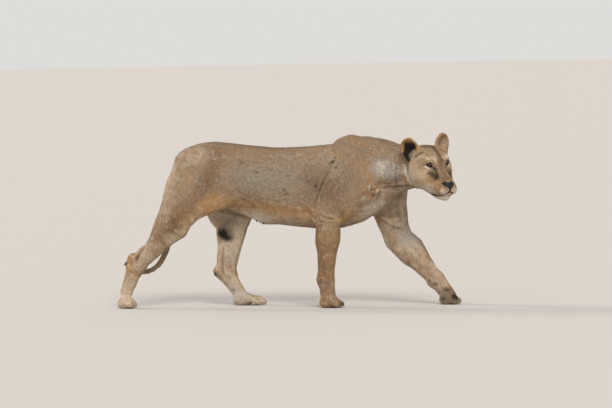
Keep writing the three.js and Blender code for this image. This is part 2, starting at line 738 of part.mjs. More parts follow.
// How far along its line the tail leaves the rump, and where its first two lengths end.
const TAIL_CUTS = { root: 0.1, first: 0.29, second: 0.62 };

const body = flesh([
  [barrel(TRUNK), 1],
  [lump(V(-560, 0, 852), [110, 92, 58]), 40],
  [lump(V(370, 0, 862), [130, 60, 62]), 50],
  [bone(V(300, 0, 560), V(440, 0, 640), 84, 84), 60],
  [bone(V(-440, 0, 606), V(-230, 0, 512), 50, 50), 50],
  ...SIDES.map((side) => [hindLeg(HIND[side]), 46]),
  ...SIDES.map((side) => [foreLeg(FORE[side]), 44]),
  [neck(), 60],
  [placed(skull(), FACE), 18],
  [tail(0, TAIL_CUTS.first + 0.02), 24],
  ...SIDES.map((side) => [paw(HIND[side], HINDPAW_WIDTH), 12]),
  ...SIDES.map((side) => [paw(FORE[side], FOREPAW_WIDTH), 12]),
]);

// The grid steps of the surfaces, and how many triangles each is thinned to before it is cut.
const TRUNK_MESH = { step: 12, triangles: 2100 };
const HEAD_MESH = { step: 6, triangles: 1900 };
const FOOT_MESH = { step: 7, triangles: 370 };
const EAR_MESH = { step: 4, triangles: 240 };
const TAIL_MESH = { step: 8, triangles: 400 };

// ---------------------------------------------------------------- where she is parted

const parts = {};
const UNDER_FLOOR = -14; // the surfaces are made a little past the floor, and cut off flat at it
const WALL = 230; // half the width of the space that holds all but her head

const towards = (from, to) => to.clone().sub(from).normalize();
const NECK_CUT = { point: inHead(-168, 0, -50), facing: V(0.94, -0.3, -0.1), above: 430 };
const BREAST_CUT = { point: V(452, 0, 780), facing: V(0.95, -0.1, 0.1) };
const LOIN_X = -400; // between rump and belly
const RIBS_X = -110; // between belly and chest
const MIDLINE = 4; // the legs are free of each other down to this far from the middle
const THIGH = { inner: 48, freeBelow: { [RIGHT]: 548, [LEFT]: 548 } };
const SHOULDER = { inner: 84, freeBelow: { [RIGHT]: 436, [LEFT]: 486 } };

const elbowCut = ({ elbow, wrist }) => ({
  point: elbow.clone().addScaledVector(towards(elbow, wrist), 34),
  facing: towards(elbow, wrist),
});
const wristCut = ({ elbow, wrist }) => ({
  point: wrist.clone().addScaledVector(towards(elbow, wrist), 4),
  facing: towards(elbow, wrist),
});
const kneeCut = ({ knee, ankle }) => ({ point: knee, facing: towards(knee, ankle) });
const hockCut = ({ ankle, ball }) => ({
  point: ankle.clone().addScaledVector(towards(ankle, ball), 40),
  facing: towards(ankle, ball),
});
const toesCut = ({ ankle, ball }) => ({ point: between(ankle, ball, 0.8), facing: towards(ankle, ball) });
const tailCut = (share) => ({ point: TAIL_LINE.getPointAt(share), facing: TAIL_LINE.getTangentAt(share) });

/** The side view of the bar that frees a hind leg: up the front of the thigh, over it and down behind. */
function thighOutline({ hip, knee }) {
  const front = knee.x + 74;
  const rear = hip.x - 560;
  return [
    [front + 30, -60],
    [front + 30, knee.z - 40],
    [front, knee.z + 62],
    [hip.x + 118, hip.z - 84],
    [hip.x + 88, hip.z + 10],
    [hip.x + 10, hip.z + 52],
    [hip.x - 74, hip.z + 20],
    [hip.x - 150, hip.z - 60],
    [rear, hip.z - 200],
    [rear, -60],
  ];
}

/** The side view of the bar that frees a foreleg: behind the elbow, round the shoulder blade and down. */
function shoulderOutline({ blade, shoulder, elbow, ball }) {
  const back = Math.min(elbow.x - 96, ball.x - 120);
  const front = shoulder.x + 92;
  const ahead = Math.max(front, ball.x + 160);
  return [
    [back, -60],
    [back, elbow.z - 30],
    [elbow.x - 96, elbow.z + 40],
    [elbow.x - 56, elbow.z + 160],
    [blade.x - 76, blade.z - 96],
    [blade.x - 30, blade.z - 40],
    [blade.x + 46, blade.z - 44],
    [shoulder.x + 20, shoulder.z + 112],
    [front, shoulder.z + 20],
    [front, elbow.z + 40],
    [ahead, elbow.z - 60],
    [ahead, -60],
  ];
}

/** Frees a leg from the trunk: its outer part above a height, and all of it below. */
function freed(solid, outline, side, inner, freeBelow) {
  const cutter = (grow) => {
    const swell = swollen(outline, grow);
    const below = beyond(V(0, 0, freeBelow + grow), V(0, 0, -1));
    return sideBar(swell, side, inner - grow).add(sideBar(swell, side, MIDLINE - grow).intersect(below));
  };
  return [solid.intersect(cutter(0)), solid.subtract(cutter(GAP))];
}

/** The head's side of its cut from the neck, moved along the cut's direction. */
function headSide(shift) {
  const above = beyond(V(0, 0, NECK_CUT.above), V(0, 0, 1));
  return beyond(NECK_CUT.point, NECK_CUT.facing, shift).intersect(above);
}

/** The largest of the bodies that a cut leaves, without its crumbs. */
const largest = (solid) => solid.decompose().sort((a, b) => b.volume() - a.volume())[0];

/** A box around points, with room on every side, and from a lower level where one is given. */
function boxAround(points, room, level) {
  const box = new THREE.Box3().setFromPoints(points).expandByScalar(room);
  box.min.z = level ?? box.min.z;
  return box;
}

// ---------------------------------------------------------------- the trunk, the legs and the tail

/** Parts the trunk's surface into chest, belly, rump, neck and the upper legs, and gives the uncut rump. */
function partTrunk() {
  const box = new THREE.Box3(V(-1120, -WALL, UNDER_FLOOR), V(800, WALL, 985));
  let rest = modelled(body, box, TRUNK_MESH).subtract(headSide(-GAP / 2));
  for (const side of SIDES) {
    const name = SIDE_NAME[side];
    const hind = HIND[side];
    const fore = FORE[side];
    let leg;
    [leg, rest] = freed(rest, thighOutline(hind), side, THIGH.inner, THIGH.freeBelow[side]);
    const [below, thigh] = parted(largest(leg), kneeCut(hind));
    parts[`thigh_${name}`] = largest(thigh);
    parts[`shank_${name}`] = largest(parted(below, hockCut(hind))[1]);
    [leg, rest] = freed(rest, shoulderOutline(fore), side, SHOULDER.inner, SHOULDER.freeBelow[side]);
    const [lower, upper] = parted(largest(leg), elbowCut(fore));
    parts[`upper_arm_${name}`] = largest(upper);
    parts[`forearm_${name}`] = largest(parted(lower, wristCut(fore))[1]);
  }
  const [throat, torso] = parted(rest, BREAST_CUT);
  const [front, rump] = parted(torso, { point: V(LOIN_X, 0, 0), facing: V(1, 0, 0) });
  const [chest, belly] = parted(front, { point: V(RIBS_X, 0, 0), facing: V(1, 0, 0) });
  parts.neck = largest(throat);
  parts.chest = largest(chest);
  parts.belly = largest(belly);
  return largest(rump);
}

/** Parts the tail's first length from the rump, and makes the other two from a finer surface. */
function partTail(rump) {
  const root = tailCut(TAIL_CUTS.root);
  const first = tailCut(TAIL_CUTS.first);
  const reach = 300;
  const block = (grow) => {
    const turn = new THREE.Quaternion().setFromUnitVectors(V(0, 0, -1), root.facing);
    const middle = root.point.clone().addScaledVector(root.facing, reach / 2 - grow);
    const size = new THREE.BoxGeometry(110 + grow * 2, 76 + grow * 2, reach);
    return solidFrom(size, new THREE.Matrix4().compose(middle, turn, V(1, 1, 1)));
  };
  parts.rump = largest(rump.subtract(block(GAP)));
  parts.tail_root = largest(parted(largest(rump.intersect(block(0))), first)[1]);
  const line = [0.2, 0.5, 0.75, 1].map((share) => TAIL_LINE.getPointAt(share));
  const lengths = modelled(tail(0.2, 1), boxAround(line, 70), TAIL_MESH);
  const [tip, middle] = parted(parted(lengths, first)[0], tailCut(TAIL_CUTS.second));
  parts.tail_middle = largest(middle);
  parts.tail_tip = largest(tip);
}

/** Makes the feet from finer surfaces, each standing on a flat at the floor. */
function partFeet() {
  const floorUp = beyond(V(0, 0, 0), V(0, 0, 1));
  const room = 74;
  for (const side of SIDES) {
    const name = SIDE_NAME[side];
    const hind = HIND[side];
    const fore = FORE[side];
    const toeTip = ({ ball, toes }) => moved(ball, toes, 0, 0);
    const hindBox = boxAround([hind.ankle, hind.heel, hind.ball, toeTip(hind)], room, UNDER_FLOOR);
    const foot = modelled(body, hindBox, FOOT_MESH).intersect(floorUp);
    const [toes, instep] = parted(parted(foot, hockCut(hind))[0], toesCut(hind));
    parts[`hind_foot_${name}`] = largest(instep);
    parts[`hind_paw_${name}`] = largest(toes);
    const foreBox = boxAround([fore.wrist, fore.ball, toeTip(fore)], room, UNDER_FLOOR);
    const hand = modelled(body, foreBox, FOOT_MESH).intersect(floorUp);
    parts[`fore_paw_${name}`] = largest(parted(hand, wristCut(fore))[0]);
  }
}

// ---------------------------------------------------------------- the parts of the head

// The side view of the bar that frees the lower jaw along the lips, forward of the eyes and up from them.
const JAW = [
  [200, -118],
  [132, -121],
  [96, -134],
  [56, -143],
  [14, -126],
  [-46, -118],
  [-58, -260],
  [200, -260],
];

// The front view of the nose's bare skin, across and up from the eyes.
const NOSE = [
  [-36, -56],
  [36, -56],
  [37, -68],
  [20, -88],
  [8, -103],
  [-8, -103],
  [-20, -88],
  [-37, -68],
];
const NOSE_FRONT = 108; // how far before the eyes the nose's skin starts

/** The bar below the lips, in its place. */
function jawBar(grow) {
  const width = 260;
  const stand = new THREE.Matrix4().makeRotationX(Math.PI / 2).setPosition(0, width / 2, 0);
  return prism(swollen(JAW, grow), width, FACE.clone().multiply(stand));
}

/** The bar round the nose's bare skin, in its place. */
function noseBar(grow) {
  const ahead = new THREE.Matrix4().makeBasis(V(0, 1, 0), V(0, 0, 1), V(1, 0, 0));
  ahead.setPosition(NOSE_FRONT - grow, 0, 0);
  return prism(swollen(NOSE, grow), 100, FACE.clone().multiply(ahead));
}

/** An eyeball, in its place. */
function eyeball(side, radius) {
  const place = new THREE.Matrix4().makeTranslation(-4, side * EYE_SPREAD, EYE_RISE);
  return solidFrom(new THREE.SphereGeometry(radius, 12, 8), FACE.clone().multiply(place));
}

/** Parts the jaw, the nose, the eyes and the ears from the head. */
function partHead() {
  const box = new THREE.Box3(V(530, -400, 540), V(960, 40, 985));
  let head = largest(modelled(body, box, HEAD_MESH).intersect(headSide(GAP / 2)));
  parts.lower_jaw = largest(head.intersect(jawBar(0)));
  head = head.subtract(jawBar(GAP));
  parts.nose = largest(head.intersect(noseBar(0)));
  head = head.subtract(noseBar(GAP));
  for (const side of SIDES) {
    head = head.subtract(eyeball(side, EYE_RADIUS + GAP));
    parts[`eye_${SIDE_NAME[side]}`] = eyeball(side, EYE_RADIUS);
  }
  parts.head = largest(head);
  const clearance = 3;
  for (const side of SIDES) {
    const foot = inHead(...EARS[side].foot);
    const earBox = boxAround([foot, moved(foot, 0, 0, 60)], 110);
    const underneath = { at: (x, y, z) => body.at(x, y, z) - clearance };
    const scalp = modelled(underneath, earBox, { step: 8, triangles: 300 });
    const clear = modelled(ear(side), earBox, EAR_MESH).subtract(scalp).subtract(parts.head);
    parts[`ear_${SIDE_NAME[side]}`] = largest(clear.subtract(parts.neck));
  }
}

// ---------------------------------------------------------------- materials and the group

const FINISHES = {
  coat: { color: 0xa98e6c, roughness: 0.9 },
  nose: { color: 0x3a2c29, roughness: 0.55 },
  eye: { color: 0x8a6324, roughness: 0.12 },
};

/** A named mesh of a solid, with the material of its kind of part. */
function meshOf(name, solid) {
  const { vertProperties, triVerts } = solid.getMesh();
  const geometry = new THREE.BufferGeometry();
  geometry.setAttribute("position", new THREE.BufferAttribute(vertProperties, 3));
  geometry.setIndex(new THREE.BufferAttribute(triVerts, 1));
  geometry.computeVertexNormals();
  const kind = name.split("_")[0];
  const finish = FINISHES[kind] ?? FINISHES.coat;
  const mesh = new THREE.Mesh(geometry, new THREE.MeshStandardMaterial({ ...finish, metalness: 0 }));
  mesh.name = name;
  return mesh;
}

partTail(partTrunk());
partFeet();
partHead();

const lioness = new THREE.Group();
lioness.name = "lioness";
for (const [name, solid] of Object.entries(parts)) lioness.add(meshOf(name, solid));

// The origin is on the floor, under the middle of her box.
const middle = new THREE.Box3().setFromObject(lioness).getCenter(V(0, 0, 0));
lioness.position.set(-middle.x, -middle.y, 0);

export default lioness;
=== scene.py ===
# %% [markdown]
# A walking lioness, life size, as a museum mounts her
#
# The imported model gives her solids: head, neck, trunk, tail and legs, each faceted and parted by
# thin cuts. This script dresses them. One skin is grown over all the flesh, eyes and nose leather
# are set into it, and hundreds of thousands of blades of coat are laid over the skin. Sizes are in
# metres, and every place is read from the solids or measured from one point on the floor.

# %% Load the solids
import math
import bpy
import bmesh
import numpy as np
from mathutils import Euler, Matrix, Vector
from mathutils.bvhtree import BVHTree


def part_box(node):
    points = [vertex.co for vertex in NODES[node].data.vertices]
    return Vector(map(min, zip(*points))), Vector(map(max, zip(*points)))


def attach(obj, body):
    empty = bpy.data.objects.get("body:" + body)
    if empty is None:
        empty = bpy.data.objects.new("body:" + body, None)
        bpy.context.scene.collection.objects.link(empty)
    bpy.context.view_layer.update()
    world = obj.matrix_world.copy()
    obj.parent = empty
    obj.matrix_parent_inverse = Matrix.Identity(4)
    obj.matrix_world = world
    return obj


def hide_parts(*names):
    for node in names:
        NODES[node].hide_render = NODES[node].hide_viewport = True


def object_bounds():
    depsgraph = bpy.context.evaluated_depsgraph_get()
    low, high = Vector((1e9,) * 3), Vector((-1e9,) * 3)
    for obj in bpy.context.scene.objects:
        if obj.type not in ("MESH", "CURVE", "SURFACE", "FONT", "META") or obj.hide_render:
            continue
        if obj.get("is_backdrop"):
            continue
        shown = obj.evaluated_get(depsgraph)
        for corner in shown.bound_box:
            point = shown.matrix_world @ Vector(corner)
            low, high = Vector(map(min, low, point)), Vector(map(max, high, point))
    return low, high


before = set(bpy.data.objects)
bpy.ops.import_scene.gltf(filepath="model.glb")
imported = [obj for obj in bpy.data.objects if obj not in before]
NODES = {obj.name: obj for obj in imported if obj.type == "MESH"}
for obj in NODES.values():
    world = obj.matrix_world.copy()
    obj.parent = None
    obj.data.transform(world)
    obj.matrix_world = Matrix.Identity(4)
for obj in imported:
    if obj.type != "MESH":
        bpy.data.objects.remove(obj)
CAD_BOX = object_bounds()
MM = 0.001
CENTRE = np.array([0.0835, 0.0443, 0.0])  # the floor point that marks on her body are measured from
print("solids:", len(NODES), "box", [round(c, 3) for p in CAD_BOX for c in p])

# %% [markdown]
# ## Camera, floor and light
#
# The camera comes first, so that each later step can be judged from it. It stands far off with a
# long lens, a little above her back and slightly ahead of her side. The floor is one large pale
# plane and the light is soft: an even sky, a broad lamp above and before her, and a warm lamp
# behind her that draws the pale line along her back and hind legs. The lamps are of the kind that
# lights everything from one direction, so the floor stays even.

# %% Camera
VIEW = dict(turn=math.radians(14), rise=math.radians(3), roll=math.radians(1.3), far=25.0)
AIM = CENTRE + [0, 0, 0.5634]
LENS = 267.4


def view_axes(turn, rise):
    """Right, up and backward directions of someone who looks at her from that side and height."""
    back = np.array([math.sin(turn) * math.cos(rise), -math.cos(turn) * math.cos(rise), math.sin(rise)])
    right = np.array([math.cos(turn), math.sin(turn), 0.0])
    return right, np.cross(back, right), back


def add_camera():
    right, up, back = view_axes(VIEW["turn"], VIEW["rise"])
    c, s = math.cos(VIEW["roll"]), math.sin(VIEW["roll"])
    axes = np.stack([right * c - up * s, up * c + right * s, back], 1)
    data = bpy.data.cameras.new("view")
    data.lens = LENS
    data.clip_end = 200
    camera = bpy.data.objects.new("view", data)
    bpy.context.scene.collection.objects.link(camera)
    camera.matrix_world = Matrix.Translation(AIM + back * VIEW["far"]) @ Matrix(axes.tolist()).to_4x4()
    bpy.context.scene.camera = camera
    return camera


camera = add_camera()
print("camera at", [round(c, 2) for c in camera.location])

# %% Floor and lights
FLOOR_SIZE = 120.0
FLOOR_COLOUR = (0.50, 0.475, 0.455, 1)
SKY = ((0.97, 0.95, 0.93, 1), 0.76)


def add_floor():
    half = FLOOR_SIZE / 2
    mesh = bpy.data.meshes.new("floor")
    corners = [(-half, -half, 0), (half, -half, 0), (half, half, 0), (-half, half, 0)]
    mesh.from_pydata(corners, [], [(0, 1, 2, 3)])
    floor = bpy.data.objects.new("floor", mesh)
    bpy.context.scene.collection.objects.link(floor)
    material = bpy.data.materials.new("pale_floor")
    material.use_nodes = True
    shader = material.node_tree.nodes["Principled BSDF"]
    shader.inputs["Base Color"].default_value = FLOOR_COLOUR
    shader.inputs["Roughness"].default_value = 0.9
    mesh.materials.append(material)
    floor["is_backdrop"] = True


def add_sun(name, place, softness, power, colour):
    """A broad soft lamp, so far off that it lights the whole floor alike."""
    data = bpy.data.lights.new(name, "SUN")
    data.angle = math.radians(softness)
    data.energy = power
    data.color = colour
    lamp = bpy.data.objects.new(name, data)
    lamp.rotation_euler = (-Vector(place)).to_track_quat("-Z", "Y").to_euler()
    bpy.context.scene.collection.objects.link(lamp)


add_floor()
add_sun("key", (1.6, -3.0, 3.0), 26, 2.1, (1.0, 0.955, 0.885))
add_sun("rim", (-3.0, 0.7, 1.1), 14, 2.0, (1.0, 0.92, 0.80))
world = bpy.data.worlds.new("soft_sky")
world.use_nodes = True
world.node_tree.nodes["Background"].inputs["Color"].default_value = SKY[0]
world.node_tree.nodes["Background"].inputs["Strength"].default_value = SKY[1]
bpy.context.scene.world = world
bpy.context.scene.view_settings.view_transform = "Standard"
print("floor and lamps in place")

# %% [markdown]
# ## Where things are
#
# Marks on the trunk and legs are given in millimetres from the floor point between her feet: x
# ahead, y to her left, z up. Marks on her face are given in the head's own directions, because the
# head is turned towards us: x out of the face, y to her left, z up, from midway between the eyes.
# The eye solids say where that is, so the face follows them.

# %% Head directions
HEAD_TURN = Euler((math.radians(5), math.radians(17), math.radians(-46)), "XYZ").to_matrix()
HEAD_AXES = np.array(HEAD_TURN)
EYE_SIDES = {"right": -1, "left": 1}


def middle_of(node):
    low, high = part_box(node)
    return np.array((low + high) / 2)


EYE_CENTRES = {side: middle_of("eye_" + side) for side in EYE_SIDES}
EYE_RADIUS = float((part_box("eye_right")[1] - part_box("eye_right")[0]).z / 2)
FACE_MIDDLE = (EYE_CENTRES["right"] + EYE_CENTRES["left"]) / 2 - HEAD_AXES @ np.array([-4, 0, 5]) * MM


def body_point(x, y, z):
    return CENTRE + np.array([x, y, z]) * MM


def to_face(points):
    """Millimetres in the head's own directions, for points in metres."""
    return (points - FACE_MIDDLE) @ HEAD_AXES / MM


def from_face(x, y, z):
    return FACE_MIDDLE + HEAD_AXES @ np.array([x, y, z], float) * MM


def to_body(points):
    return (points - CENTRE) / MM


print("eyes", {s: to_face(c[None]).round(1).tolist() for s, c in EYE_CENTRES.items()},
      "radius", round(EYE_RADIUS, 4))

# %% [markdown]
# ## The skin: one closed surface over every solid
#
# A real skin has no seams, while the solids are parted by cuts a third of a millimetre wide. Joining
# them by booleans would keep each facet and cut edge. A voxel remesh instead pours them all into one
# fine grid and draws a single new surface over the lot. Smoothing then melts the facets away: it
# shrinks and regrows by turns, so that her volume is kept. The head, ears and paws are smoothed
# less than the broad trunk.

# %% Grow one surface
GRID = 0.0042
FLOOR_GAP = 0.0006  # the least height of skin over the floor


def mesh_arrays(mesh):
    """Vertices and triangles of a mesh as arrays."""
    mesh.calc_loop_triangles()
    points = np.empty(len(mesh.vertices) * 3, np.float32)
    mesh.vertices.foreach_get("co", points)
    corners = np.empty(len(mesh.loop_triangles) * 3, np.int32)
    mesh.loop_triangles.foreach_get("vertices", corners)
    return points.reshape(-1, 3).astype(float), corners.reshape(-1, 3)


def mesh_from(name, points, faces):
    """A smooth-shaded mesh. Faces is an array with one row of corners for each face."""
    mesh = bpy.data.meshes.new(name)
    faces = np.asarray(faces, np.int32)
    mesh.vertices.add(len(points))
    mesh.vertices.foreach_set("co", np.asarray(points, np.float32).ravel())
    mesh.loops.add(faces.size)
    mesh.loops.foreach_set("vertex_index", faces.ravel())
    mesh.polygons.add(len(faces))
    mesh.polygons.foreach_set("loop_start", np.arange(0, faces.size, faces.shape[1], dtype=np.int32))
    mesh.polygons.foreach_set("use_smooth", np.ones(len(faces), bool))
    mesh.update(calc_edges=True)
    return mesh


def shown(name, mesh):
    obj = bpy.data.objects.new(name, mesh)
    bpy.context.scene.collection.objects.link(obj)
    return obj


def with_modifier(mesh, kind, **settings):
    """The mesh after one modifier."""
    obj = shown("work", mesh)
    modifier = obj.modifiers.new("work", kind)
    for key, value in settings.items():
        setattr(modifier, key, value)
    done = bpy.data.meshes.new_from_object(obj.evaluated_get(bpy.context.evaluated_depsgraph_get()))
    bpy.data.objects.remove(obj)
    bpy.data.meshes.remove(mesh)
    return done


def solids_joined(nodes):
    """One mesh of several solids, and the index of the solid that each triangle is on."""
    points, faces, owner, start = [], [], [], 0
    for i, node in enumerate(nodes):
        p, f = mesh_arrays(NODES[node].data)
        points.append(p)
        faces.append(f + start)
        owner += [i] * len(f)
        start += len(p)
    return np.concatenate(points), np.concatenate(faces), owner


NODE_NAMES = sorted(NODES)
SOLID_POINTS, SOLID_FACES, FACE_OWNER = solids_joined(NODE_NAMES)
skin_mesh = with_modifier(mesh_from("block", SOLID_POINTS, SOLID_FACES),
                          "REMESH", mode="VOXEL", voxel_size=GRID)
print("one surface:", len(skin_mesh.vertices), "points")

# %% Which solid each point of skin lies on
FINDER = BVHTree.FromPolygons(SOLID_POINTS.tolist(), SOLID_FACES.tolist())


def owners(points):
    return np.array([FACE_OWNER[FINDER.find_nearest(p)[2]] for p in points.tolist()])


def shares(owner, table, default):
    """One value for each point, from a table of the start of a solid's name to a value."""
    values = [next((v for k, v in table.items() if n.startswith(k)), default) for n in NODE_NAMES]
    return np.array(values, float)[owner]


def on_parts(**table):
    """The table's value for each point of skin on its parts, and 0 on the rest."""
    return shares(skin_owner, table, 0)


# %% Finer skin on the face and ears
class Web:
    """The neighbours of each point, ready for averaging over them."""

    def __init__(self, mesh):
        edges = np.empty(len(mesh.edges) * 2, np.int32)
        mesh.edges.foreach_get("vertices", edges)
        pairs = edges.reshape(-1, 2)
        ends, other = np.concatenate([pairs[:, 0], pairs[:, 1]]), np.concatenate([pairs[:, 1], pairs[:, 0]])
        order = np.argsort(ends, kind="stable")
        self.other = other[order]
        self.count = np.bincount(ends, minlength=len(mesh.vertices))[:, None].astype(np.float32)
        self.start = np.concatenate([[0], np.cumsum(self.count)[:-1]]).astype(int)

    def mean(self, values):
        return np.add.reduceat(values[self.other], self.start, axis=0) / self.count

    def spread(self, values, rounds):
        """Values blurred over the surface."""
        values = np.asarray(values, np.float32).reshape(len(self.count), -1)
        for _ in range(rounds):
            values = 0.5 * values + 0.5 * self.mean(values)
        return values


def smooth(points, web, rounds, amount):
    """Shrinks and regrows by turns. Amount is the share of it that each point takes."""
    points = points.astype(np.float32)
    for _ in range(rounds):
        points = points + 0.52 * amount * (web.mean(points) - points)
        points = points - 0.54 * amount * (web.mean(points) - points)
    return points


def refined(mesh, wanted):
    """The mesh with each wanted face cut in four. Wanted says yes or no for each point."""
    work = bmesh.new()
    work.from_mesh(mesh)
    edges = [e for e in work.edges if wanted[e.verts[0].index] and wanted[e.verts[1].index]]
    bmesh.ops.subdivide_edges(work, edges=edges, cuts=1, use_grid_fill=True)
    work.to_mesh(mesh)
    work.free()
    return mesh


FINE_PARTS = {"head": 1, "nose": 1, "lower_jaw": 1, "ear": 1, "eye": 1, "fore_paw": 1, "hind_paw": 1}
SMOOTHING = {"head": 0.3, "nose": 0.2, "lower_jaw": 0.25, "ear": 0.2, "eye": 0.3, "fore_paw": 0.3,
             "hind_paw": 0.3, "hind_foot": 0.5, "tail": 0.6}
SMOOTH_ROUNDS = 34
FINE_ROUND_EYES = 0.034  # metres from the middle of an eye
web = Web(skin_mesh)
skin_points, _ = mesh_arrays(skin_mesh)
skin_owner = owners(skin_points)
amount = web.spread(shares(skin_owner, SMOOTHING, 1.0), 12)
skin_points = smooth(skin_points, web, SMOOTH_ROUNDS, amount)
skin_points = smooth(skin_points, web, SMOOTH_ROUNDS, amount ** 2)
skin_mesh.vertices.foreach_set("co", skin_points.ravel())
skin_mesh = refined(skin_mesh, shares(skin_owner, FINE_PARTS, 0) > 0)
skin_points, _ = mesh_arrays(skin_mesh)


def eye_distance(points):
    return np.min([np.linalg.norm(points - c, axis=1) for c in EYE_CENTRES.values()], 0)


skin_mesh = refined(skin_mesh, eye_distance(skin_points) < FINE_ROUND_EYES)
print("smoothed and refined:", len(skin_mesh.vertices), "points")

# %% [markdown]
# ## Folds, lids and lips
#
# Under her loose coat the skin slides into folds behind the shoulder, at the elbow and along the
# throat. They could be painted as bump, but from the side and in the export they need real depth.
# Each fold is a line of a few points on her body. Skin near the line sinks, and skin a little
# further off rises, as when two fingers push cloth together. The lids are made by setting how far
# the skin stands from the middle of each eyeball: inside an almond opening it lies deep behind the
# ball, at the opening's edge it stands just proud of it, and further out it joins the face.

# %% How far points are from a line, and which way they face
def line_distance(points, line):
    """Millimetres from each point to the nearest place on a line of points."""
    line = np.asarray(line, float)
    nearest = np.full(len(points), 1e9)
    for a, b in zip(line[:-1], line[1:]):
        along = np.clip(((points - a) @ (b - a)) / max((b - a) @ (b - a), 1e-9), 0, 1)
        nearest = np.minimum(nearest, np.linalg.norm(points - a - along[:, None] * (b - a), axis=1))
    return nearest


def both_halves(points):
    """The points with her right half laid over her left, so that a place stands for both."""
    return points * [1, 0, 1] + np.abs(points) * [0, 1, 0]


def normals_of(points, faces):
    a, b, c = points[faces[:, 0]], points[faces[:, 1]], points[faces[:, 2]]
    across = np.cross(b - a, c - a)
    total = np.stack([np.bincount(faces.ravel(), np.repeat(across[:, k], 3), len(points))
                      for k in range(3)], 1)
    return total / np.maximum(np.linalg.norm(total, axis=1, keepdims=True), 1e-12)


def bell(distance, width):
    return np.exp(-((distance / width) ** 2))


def fade(low, high, value):
    """0 below low and 1 above high, with a smooth rise between."""
    t = np.clip((value - low) / (high - low), 0, 1)
    return t * t * (3 - 2 * t)


def fold(points, line, width, depth):
    """How far skin moves out for a fold: a sunk line with a raised bank beside it."""
    away = line_distance(points, line)
    return depth * (0.45 * bell(away - 2 * width, width * 1.1) - bell(away, width))


# %% Draw the coat's depth and the body folds
COAT_DEPTH = {
    "head": 2.2, "lower_jaw": 2.2, "nose": 0.6, "eye": 0.0, "ear": 1.2, "neck": 4.0, "tail_tip": 4.0,
    "tail": 3.0, "fore_paw": 1.6, "hind_paw": 1.6, "hind_foot": 2.2, "forearm": 2.8, "shank": 2.8}
BODY_FOLDS = [
    ([(197, -114, 820), (173, -135, 766), (142, -150, 702), (114, -156, 648), (96, -156, 593),
      (83, -154, 549)], 6, 6.5),
    ([(168, -128, 790), (142, -141, 748), (112, -153, 688), (88, -156, 630)], 5, 4.0),
    ([(119, -167, 512), (154, -176, 495), (193, -172, 489)], 7, 3.5),
    ([(107, -167, 473), (144, -180, 474)], 6, 2.5),
    ([(411, -158, 645), (472, -107, 652), (540, -110, 663), (603, -114, 665)], 7, 5.0),
    ([(413, -162, 661), (410, -154, 628), (410, -134, 600)], 7, 4.0),
    ([(504, -119, 674), (445, -111, 631), (412, -72, 558)], 9, 3.5),
    ([(293, -143, 520), (336, -88, 521), (386, -62, 530)], 8, 3.0),
    ([(529, -118, 822), (541, -132, 778), (536, -132, 712)], 8, 2.2),
    ([(560, -127, 800), (566, -138, 740), (560, -130, 690)], 7, 3.2),
    ([(482, -114, 800), (489, -123, 760), (470, -125, 719)], 9, 1.4),
    ([(-898, -138, 336), (-916, -140, 309), (-934, -141, 281)], 8, 4.0),
    ([(395, 150, 850), (372, 158, 770), (352, 165, 690), (330, 168, 610)], 7, 4.0),
    ([(318, 165, 560), (352, 172, 520), (392, 172, 500)], 7, 3.0),
    ([(560, 82, 690), (500, 100, 680), (440, 110, 640)], 8, 3.5),
    ([(380, 70, 478), (410, 72, 463), (454, 68, 435), (522, 81, 413)], 9, 3.5),
    ([(421, -143, 640), (420, -120, 604)], 8, 3.5),
    ([(488, -13, 573), (509, 72, 588), (537, 97, 601)], 9, 3.0),
    ([(523, 85, 489), (503, 76, 455)], 9, 2.5),
    ([(-502, 75, 319), (-502, 74, 275), (-510, 75, 225), (-499, 64, 181)], 8, 3.5),
]
MUSCLES = [((300, -158, 720), 62, 4.0), ((232, -165, 600), 52, 4.0), ((170, -168, 560), 40, 3.0),
           ((-640, -150, 740), 75, 4.0), ((-560, -150, 600), 60, 3.0), ((-700, -130, 560), 55, 3.0),
           ((420, 168, 700), 62, 4.0), ((-520, 158, 700), 70, 4.0), ((-250, -20, 470), 110, 6.0),
           ((-966, -128, 303), 24, -12.0), ((-927, -118, 332), 16, 3.0), ((-975, -128, 250), 22, -2.5)]

skin_points, skin_faces = mesh_arrays(skin_mesh)
web = Web(skin_mesh)
skin_owner = owners(skin_points)
skin_normals = normals_of(skin_points, skin_faces)
in_body = to_body(skin_points)
rise = -web.spread(shares(skin_owner, COAT_DEPTH, 3.6), 10)[:, 0]
for line, width, depth in BODY_FOLDS:
    rise += fold(in_body, line, width, depth)
for place, size, height in MUSCLES:
    rise += height * bell(np.linalg.norm(in_body - place, axis=1), size)
skin_points = skin_points + skin_normals * rise[:, None] * MM
print("coat depth and", len(BODY_FOLDS), "folds; deepest", round(float(rise.min()), 1), "mm")

# %% Part the toes
PAWS = ("fore_paw_left", "fore_paw_right", "hind_paw_left", "hind_paw_right")
TOE_GROOVE = dict(width=3.4, depth=6.5)


def toe_lines(node):
    """Three lines between four toes, over the front and top of a paw."""
    low, high = (to_body(np.array(c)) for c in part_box(node))
    lines = []
    for share in (0.27, 0.5, 0.73):
        y = low[1] + share * (high[1] - low[1])
        front = high[0] - (9 if share == 0.5 else 14)
        lines.append([(front + 6, y, 4), (front, y, 26), (front - 22, y, 44), (front - 50, y, 58)])
    return lines


toe_rise = np.zeros(len(skin_points))
for node in PAWS:
    for line in toe_lines(node):
        toe_rise -= TOE_GROOVE["depth"] * bell(line_distance(in_body, line), TOE_GROOVE["width"] * 1.6)
skin_points = skin_points + skin_normals * toe_rise[:, None] * MM
print("toes parted on", len(PAWS), "paws")

